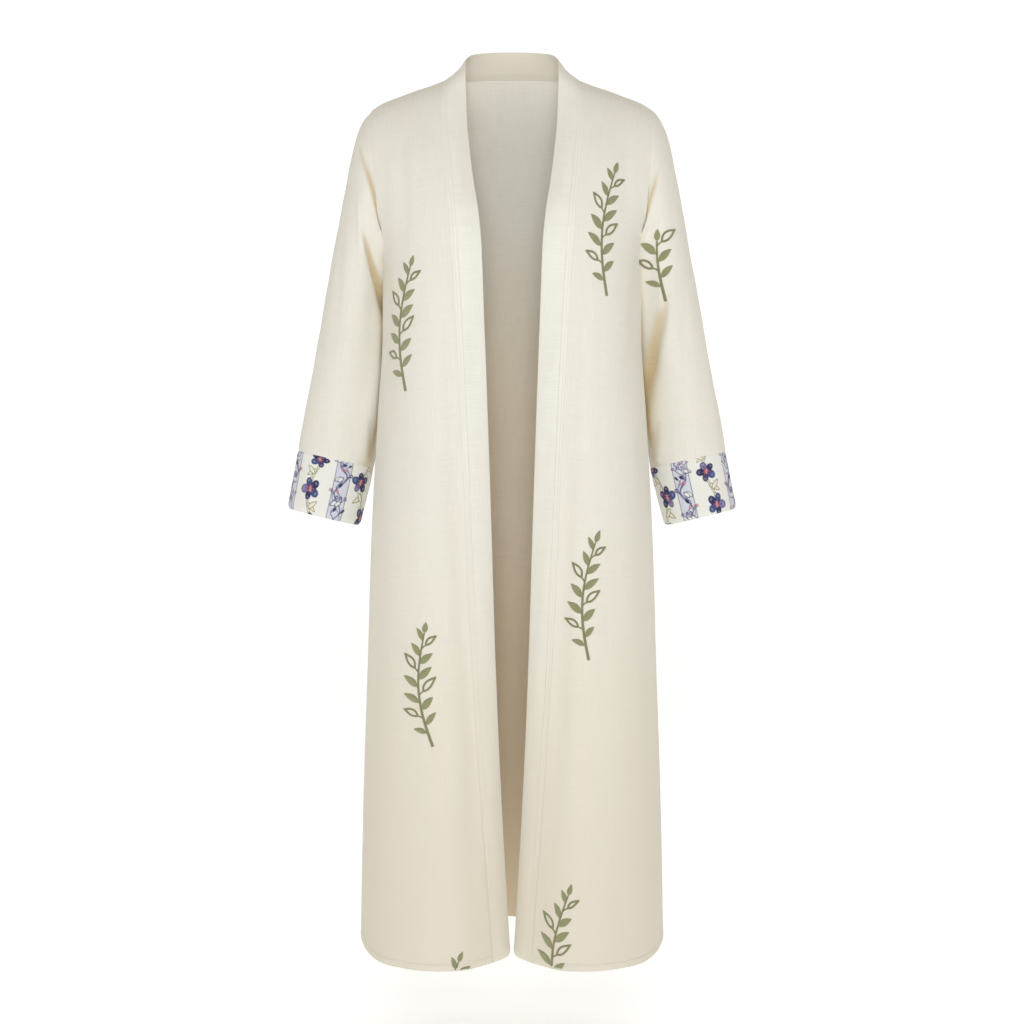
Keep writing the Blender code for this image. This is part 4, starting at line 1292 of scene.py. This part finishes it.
def make_cuff(hand):
    rows = np.linspace(CUFF_ROW, CUFF_END_ROW, CUFF_ROWS)
    degrees = np.arange(CUFF_COLUMNS) * 360 / CUFF_COLUMNS
    grid = sleeve_points(rows[:, None], np.radians(degrees)[None, :])
    grid[0] += (grid[1] - grid[0]) * 0.1
    normals = outward(grid, grid_normals(grid, closed=True), grid.mean(axis=1, keepdims=True))
    along = (rows - CUFF_ROW) * CUFF_LENGTH
    steps = np.linalg.norm(np.roll(grid, -1, axis=1) - grid, axis=-1)
    girth = steps.sum(axis=1).mean()
    around = np.cumsum(steps[len(rows) // 2]) - steps[len(rows) // 2, 0]
    u = around[None, :] + 0 * along[:, None]
    v = along[:, None] + 0 * u
    seed = 41 if hand == "left" else 42
    round_by = 2 * np.pi * u / girth
    waves = unevenness(np.cos(round_by) * 0.02, v * 0.3 + np.sin(round_by) * 0.02, seed, 0.0005)
    end = np.clip((v - (CUFF_LENGTH - CUFF_ROUND)) / CUFF_ROUND, 0, 1)
    lift = waves + sunk(v) * 0.8 - CUFF_TUCK * (1 - np.sqrt(1 - 0.98 * end ** 2))
    grid = grid + normals * lift[..., None]
    colours = cuff_print(u, v + (0.0 if hand == "left" else PRINT_SHIFT), girth)
    colours = np.concatenate((colours, np.ones(u.shape + (1,))), axis=-1)
    uv = np.stack((u, -v), axis=-1)
    grid, normals = on_side(hand, grid, normals)
    return grid, normals, uv, colours


RIBBON_COLUMNS = 5


def strip_faces(rows, columns, closed=False):
    """Faces between a grid's points, row after row."""
    faces = []
    for r in range(rows if closed else rows - 1):
        for c in range(columns - 1):
            a, b = r * columns + c, (r + 1) % rows * columns + c
            faces.append((a, b, b + 1, a + 1))
    return faces


def ribbon(points, widths, closed=False):
    """A raised band of thread along a flat line: points, heights, faces and thread directions."""
    points = np.asarray(points, dtype=float)
    count = len(points)
    if closed:
        along = np.roll(points, -1, axis=0) - np.roll(points, 1, axis=0)
    else:
        along = np.gradient(points, axis=0)
    along = along / np.linalg.norm(along, axis=1, keepdims=True)
    side = np.stack((-along[:, 1], along[:, 0]), axis=1)
    places = np.linspace(-1, 1, RIBBON_COLUMNS)
    widths = np.broadcast_to(widths, (count,))
    flat = points[:, None] + side[:, None] * places[None, :, None] * widths[:, None, None] / 2
    rise = np.sqrt(np.maximum(1 - places ** 2, 0))
    thick = np.minimum(widths * 0.45, THREAD_HEIGHT)
    heights = THREAD_FLOOR * np.where(rise > 0, 1, -1)[None, :] + thick[:, None] * rise[None, :]
    travelled = length_along(points)
    uv = np.stack(np.broadcast_arrays(places[None, :] * widths[:, None] / 2, travelled[:, None]), axis=-1)
    faces = strip_faces(count, RIBBON_COLUMNS, closed)
    return flat.reshape(-1, 2), heights.ravel(), faces, uv.reshape(-1, 2)


def leaf_lines(base, tip, width, bend, count):
    """The leaf's middle line and its half widths."""
    base = np.asarray(base, dtype=float)
    tip = np.asarray(tip, dtype=float)
    t = np.linspace(0, 1, count)
    way = tip - base
    length = np.linalg.norm(way)
    side = np.array((way[1], -way[0])) / length
    middle = base + t[:, None] * way + side * (bend * 4 * t * (1 - t))[:, None]
    half = width / 2 * np.sin(np.pi * t ** 0.82) ** 0.85 * (1 - 0.10 * t)
    half[0] = 0
    half[-1] = 0
    return middle, half, side, length


def filled_leaf(base, tip, width, bend):
    middle, half, side, length = leaf_lines(base, tip, width, bend, LEAF_ROWS)
    places = np.linspace(-1, 1, LEAF_COLUMNS)
    flat = middle[:, None] + side * (places[None, :] * half[:, None])[..., None]
    rise = np.sqrt(np.maximum(1 - places ** 2, 0)) * (1 - 0.30 * np.exp(-(places / 0.16) ** 2))
    thick = np.minimum(half * 0.5, THREAD_HEIGHT)
    floor = THREAD_FLOOR * np.where(np.abs(places) < 0.99, 1, -1)
    heights = floor[None, :] + thick[:, None] * rise[None, :]
    t = np.linspace(0, 1, LEAF_ROWS)
    uv = np.stack(np.broadcast_arrays(places[None, :] * half[:, None], (t * length)[:, None]), axis=-1)
    return flat.reshape(-1, 2), heights.ravel(), strip_faces(LEAF_ROWS, LEAF_COLUMNS), uv.reshape(-1, 2)


def leaf_outline(base, tip, width, bend, outline):
    middle, half, side, _ = leaf_lines(base, tip, width, bend, 15)
    inset = (half - np.minimum(outline * 0.35, half * 0.6))[:, None]
    one = middle + side * inset
    other = middle - side * inset
    path = np.concatenate((one, other[-2:0:-1]))
    return ribbon(path, outline, closed=True)


def rounded_line(points, steps):
    """A smooth line through points."""
    points = np.asarray(points, dtype=float)
    keys = length_along(points)
    at = np.linspace(0, keys[-1], steps)
    return np.stack([smooth(keys, points[:, i], at) for i in (0, 1)], axis=1)


def branch_place(share):
    """A place on the branch's stem, from 0 at its top to 1 at its foot."""
    x = BRANCH_BOW * (0.5 - np.sin(np.pi * share)) + BRANCH_LEAN * (1 - 2 * share)
    return np.array((x, BRANCH_TOP + (BRANCH_FOOT - BRANCH_TOP) * share))


def branch(cut):
    """Stems and leaves of a branch, of which only the part below cut is there."""
    shift = np.array((0.0, cut * (BRANCH_FOOT - BRANCH_TOP) / 2))
    line = [branch_place(share) - shift for share in np.linspace(cut, 1, 15)]
    stems = [(line, *BRANCH_WIDTHS)]
    way = (line[0] - line[1]) / np.linalg.norm(line[0] - line[1])
    leaves = [(line[0], line[0] + way * TIP_LEAF[0], TIP_LEAF[1], 0.0, 0.0)]
    for index, share in enumerate(np.linspace(LEAF_FIRST, LEAF_LAST, LEAF_COUNT)):
        if share < cut:
            continue
        outlined = index % 3 == 1
        side = 1 if index % 2 else -1
        base = branch_place(share) - shift
        up = branch_place(share - 0.01) - branch_place(share)
        turn = side * np.radians(LEAF_ANGLES[0] + (LEAF_ANGLES[1] - LEAF_ANGLES[0]) * share)
        up = up / np.linalg.norm(up)
        cos, sin = np.cos(turn), np.sin(turn)
        way = np.array((up[0] * cos - up[1] * sin, up[0] * sin + up[1] * cos))
        stalk = STALKS[0] if outlined else STALKS[1]
        joint = base + way * stalk
        length = LEAF_LENGTH * (LEAF_SHORTEST + (1 - LEAF_SHORTEST) * np.sin(np.pi * share))
        stems.append(((base, base + way * stalk * 0.5 + up * stalk * 0.1, joint), STALK_WIDTH, STALK_WIDTH))
        leaves.append((joint, joint + way * length, length * LEAF_SLENDER, side * LEAF_BEND,
                       OUTLINE if outlined else 0.0))
    return stems, leaves


MOTIFS = {"spray": branch(0.0), "sprig": branch(0.5)}


def make_spray(name, motif, patch, turn, wide, tall, seed):
    """Lays one spray on a cloth. Each is a little different, by its own seed."""
    random = np.random.default_rng(seed)
    angle = np.radians(turn)
    spin = np.array(((np.cos(angle), np.sin(angle)), (-np.sin(angle), np.cos(angle))))
    groups = {"fill": [], "line": []}
    stems, leaves = MOTIFS[motif]
    for points, start, end in stems:
        steps = max(4, int(len(points) * 2.6))
        path = rounded_line(np.asarray(points, dtype=float), steps) / 1000
        groups["line"].append(ribbon(path, np.linspace(start, end, steps) * STEM_WIDTH / 1000))
    for base, tip, width, bend, outline in leaves:
        sway = random.normal(0, 0.8, 2)
        tip = np.asarray(tip) + sway
        breadth = width * random.uniform(0.94, 1.06) * LEAF_WIDTH
        measure = [np.asarray(base) / 1000, tip / 1000, breadth / 1000, bend / 1000]
        if outline:
            groups["line"].append(leaf_outline(*measure, outline * OUTLINE_WIDTH / 1000))
        else:
            groups["fill"].append(filled_leaf(*measure))
    made = []
    for kind, material in (("fill", GREEN_THREAD), ("line", DARK_GREEN_THREAD)):
        vertices, faces, texture = [], [], []
        start = 0
        for flat, heights, shape_faces, uv in groups[kind]:
            laid, keep = patch.lay(flat * np.array((wide, tall)) @ spin.T, heights)
            vertices.append(laid)
            texture.append(uv)
            faces += [tuple(start + i for i in f) for f in shape_faces if all(keep[i] for i in f)]
            start += len(laid)
        if not faces:
            continue
        vertices = np.concatenate(vertices)
        used = sorted({i for f in faces for i in f})
        index = {old: new for new, old in enumerate(used)}
        faces = [tuple(index[i] for i in f) for f in faces]
        texture = np.concatenate(texture)[used]
        made.append(attach_mesh(f"{name}_{kind}", vertices[used], faces, material, uv=texture))
    return made


# A stitch's rings: place along it, size, and height above the cloth in stitch widths
STITCH_RINGS = ((0.0, 0.35, -0.25), (0.25, 1.0, 0.35), (0.75, 1.0, 0.35), (1.0, 0.35, -0.25))


def at_length(keys, values, place):
    """The point or direction at a length along a line."""
    return np.array([np.interp(place, keys, values[:, axis]) for axis in range(3)])


def stitch_row(name, points, normals):
    """A row of separate stitches along a line on the cloth."""
    keys = length_along(points)
    count = int(keys[-1] / STITCH_PITCH)
    vertices, faces, texture = [], [], []
    for index in range(count):
        middle = (index + 0.5) * STITCH_PITCH
        ends = [at_length(keys, points, middle + s * STITCH_LENGTH / 2) for s in (-1, 1)]
        normal = at_length(keys, normals, middle)
        normal = normal / np.linalg.norm(normal)
        along = ends[1] - ends[0]
        along = along / np.linalg.norm(along)
        side = np.cross(normal, along)
        base = len(vertices)
        for t, wide, lift in STITCH_RINGS:
            centre = ends[0] * (1 - t) + ends[1] * t + normal * lift * STITCH_WIDTH
            for angle in (45, 135, 225, 315):
                a = np.radians(angle)
                vertices.append(centre + (side * np.cos(a) + normal * np.sin(a)) * STITCH_WIDTH * wide * 0.6)
                texture.append((np.cos(a) * STITCH_WIDTH, t * STITCH_LENGTH))
        for ring in range(3):
            for c in range(4):
                a, b = base + ring * 4 + c, base + ring * 4 + (c + 1) % 4
                faces.append((a, b, b + 4, a + 4))
        faces.append((base + 3, base + 2, base + 1, base))
        faces.append((base + 12, base + 13, base + 14, base + 15))
    return attach_mesh(name, np.array(vertices), faces, CREAM_THREAD, uv=np.array(texture))


def register(piece, node=None):
    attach(piece, "root")
    if node:
        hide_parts(node)


made = {}
cloths = {}
for hand in ("left", "right"):
    grid, normals, uv, shades, inner = make_front(hand)
    cloths[f"front_{hand}"] = (grid, normals)
    made[f"front_{hand}"] = shell(f"cloth_front_{hand}", grid, normals, LINEN_WALL, LINEN, uv,
                                  lining=LINING_PAINTED_LIGHT_SHADE, shades=shades, inner_shades=inner)
    grid, normals, uv, shades = make_sleeve(hand)
    cloths[f"sleeve_{hand}"] = (grid, normals)
    # The sleeve's inside gets an even painted shade
    made[f"sleeve_{hand}"] = shell(f"cloth_sleeve_{hand}", grid, normals, LINEN_WALL, LINEN, uv,
                                   closed=True, lining=LINING_PAINTED_LIGHT_SHADE, shades=shades,
                                   inner_shades=0 * shades + 0.3)
    grid, normals, uv, colours = make_cuff(hand)
    cloths[f"cuff_{hand}"] = (grid, normals)
    made[f"cuff_{hand}"] = shell(f"cloth_cuff_{hand}", grid, normals, CUFF_WALL, CUFF_COTTON, uv,
                                 closed=True, colours=colours)
    grid, normals, uv, shades, inner = make_band(hand)
    cloths[f"band_{hand}"] = (grid, normals)
    made[f"band_{hand}"] = shell(f"cloth_band_{hand}", grid, normals, BAND_WALL, BAND_LINEN_PAINTED_LIGHT, uv, shades=shades,
                                 inner_shades=inner)
grid, normals, uv, shades, inner = make_back()
cloths["back"] = (grid, normals)
made["back"] = shell("cloth_back", grid, normals, LINEN_WALL, LINEN, uv, lining=LINING_PAINTED_LIGHT_SHADE,
                     shades=shades, inner_shades=inner)

for node, piece in made.items():
    register(piece, node)

extras = {node: [] for node in made}
for seed, (name, cloth_name, motif, across, down, turn, wide, tall, side) in enumerate(SPRAYS[1:], 1):
    patch = face_patch(cloths[cloth_name], side, across, -down)
    for piece in make_spray(name, motif, patch, turn, wide, tall, seed):
        register(piece)
        extras[cloth_name].append(piece)

for hand in ("left", "right"):
    grid, normals = cloths[f"band_{hand}"]
    across = np.linalg.norm(grid[len(grid) // 2] - grid[len(grid) // 2, 0], axis=1)
    for index, distance in enumerate(BAND_STITCHES):
        column = np.interp(distance, across, np.arange(grid.shape[1]))
        c = int(column)
        share = column - c
        points = grid[:, c] * (1 - share) + grid[:, c + 1] * share
        directions = normals[:, c] * (1 - share) + normals[:, c + 1] * share
        inside = slice(0, NECK_ROWS)
        for name, row, way in ((f"stitches_band_{hand}_{index + 1}", points, directions),
                               (f"stitches_neck_{hand}_{index + 1}",
                                (points - directions * BAND_WALL)[inside], -directions[inside])):
            piece = stitch_row(name, row, way)
            register(piece)
            extras[f"band_{hand}"].append(piece)

for node in ("back", "front_left", "front_right"):
    grid, normals = cloths[node]
    down = np.cumsum(np.linalg.norm(np.diff(grid, axis=0), axis=-1), axis=0)
    rows = np.arange(1, len(grid))
    at = [np.interp(line[-1] - HEM_DEPTH + 0.0015, line, rows) for line in down.T]
    points = [[np.interp(row, np.arange(len(grid)), grid[:, column, axis]) for axis in range(3)]
              for column, row in enumerate(at)]
    directions = [normals[int(row), column] for column, row in enumerate(at)]
    piece = stitch_row(f"stitches_hem_{node}", np.array(points), np.array(directions))
    register(piece)
    extras[node].append(piece)

# The stage: a pale floor that curves up into a backdrop
FLOOR_Z = -1.47
BACKDROP_Y = 2.6
CURVE = 1.2
profile = [(-4.5, FLOOR_Z), (BACKDROP_Y - CURVE, FLOOR_Z)]
for step in range(1, 13):
    angle = np.pi / 2 * step / 12
    profile.append((BACKDROP_Y - CURVE + CURVE * np.sin(angle), FLOOR_Z + CURVE * (1 - np.cos(angle))))
profile.append((BACKDROP_Y, 4.5))
stage_points = []
for x in (-6.0, 6.0):
    stage_points += [(x, y, z) for y, z in profile]
count = len(profile)
stage_faces = [(i, i + 1, count + i + 1, count + i) for i in range(count - 1)]
floor_material = bpy.data.materials.new("stage_white")
floor_material.use_nodes = True
floor_shader = floor_material.node_tree.nodes["Principled BSDF"]
floor_shader.inputs["Base Color"].default_value = (0.90, 0.90, 0.90, 1)
floor_shader.inputs["Roughness"].default_value = 0.9
floor_shader.inputs["Emission Color"].default_value = (0.95, 0.98, 1, 1)
floor_shader.inputs["Emission Strength"].default_value = 0.42
floor = attach_mesh("stage_floor", np.array(stage_points), stage_faces, floor_material)

# The photograph's camera
CAMERA_PLACE = (0.0, -2.40, -0.676)
FOCAL_PIXELS = 1547.0
SENSOR = 36.0
PICTURE_SIZE = 1024
camera = bpy.data.cameras.new("camera")
camera.sensor_width = SENSOR
camera.lens = FOCAL_PIXELS * SENSOR / PICTURE_SIZE
camera_object = put_in_scene("camera", camera)
camera_object.location = CAMERA_PLACE
camera_object.rotation_euler = (np.radians(90), 0, 0)
bpy.context.scene.camera = camera_object

# Light: a warm even room and large soft lamps, one of them close to the camera
LAMP_COLOUR = (0.90, 0.955, 1.0)
LAMPS = (
    ("name", "place", "turn", "size", "power"),
    ("lamp_front", (0.0, -3.1, -0.15), (84, 0, 0), 1.0, 22.8),
    ("lamp_high", (0.0, -3.6, 0.9), (72, 0, 0), 2.6, 23.5),
    ("lamp_left", (-3.0, -2.2, 0.0), (84, 0, -52), 2.0, 12.0),
    ("lamp_right", (3.0, -2.2, 0.0), (84, 0, 52), 2.0, 12.0),
)
for name, place, turn, size, power in LAMPS[1:]:
    lamp = bpy.data.lights.new(name, "AREA")
    lamp.shape = "DISK"
    lamp.size = size
    lamp.energy = power
    lamp.color = LAMP_COLOUR
    lamp_object = put_in_scene(name, lamp)
    lamp_object.location = place
    lamp_object.rotation_euler = [np.radians(angle) for angle in turn]
world = bpy.data.worlds.new("room")
world.use_nodes = True
world.node_tree.nodes["Background"].inputs["Color"].default_value = (1.0, 0.93, 0.80, 1)
world.node_tree.nodes["Background"].inputs["Strength"].default_value = 0.43
bpy.context.scene.world = world
bpy.context.scene.view_settings.view_transform = "Standard"
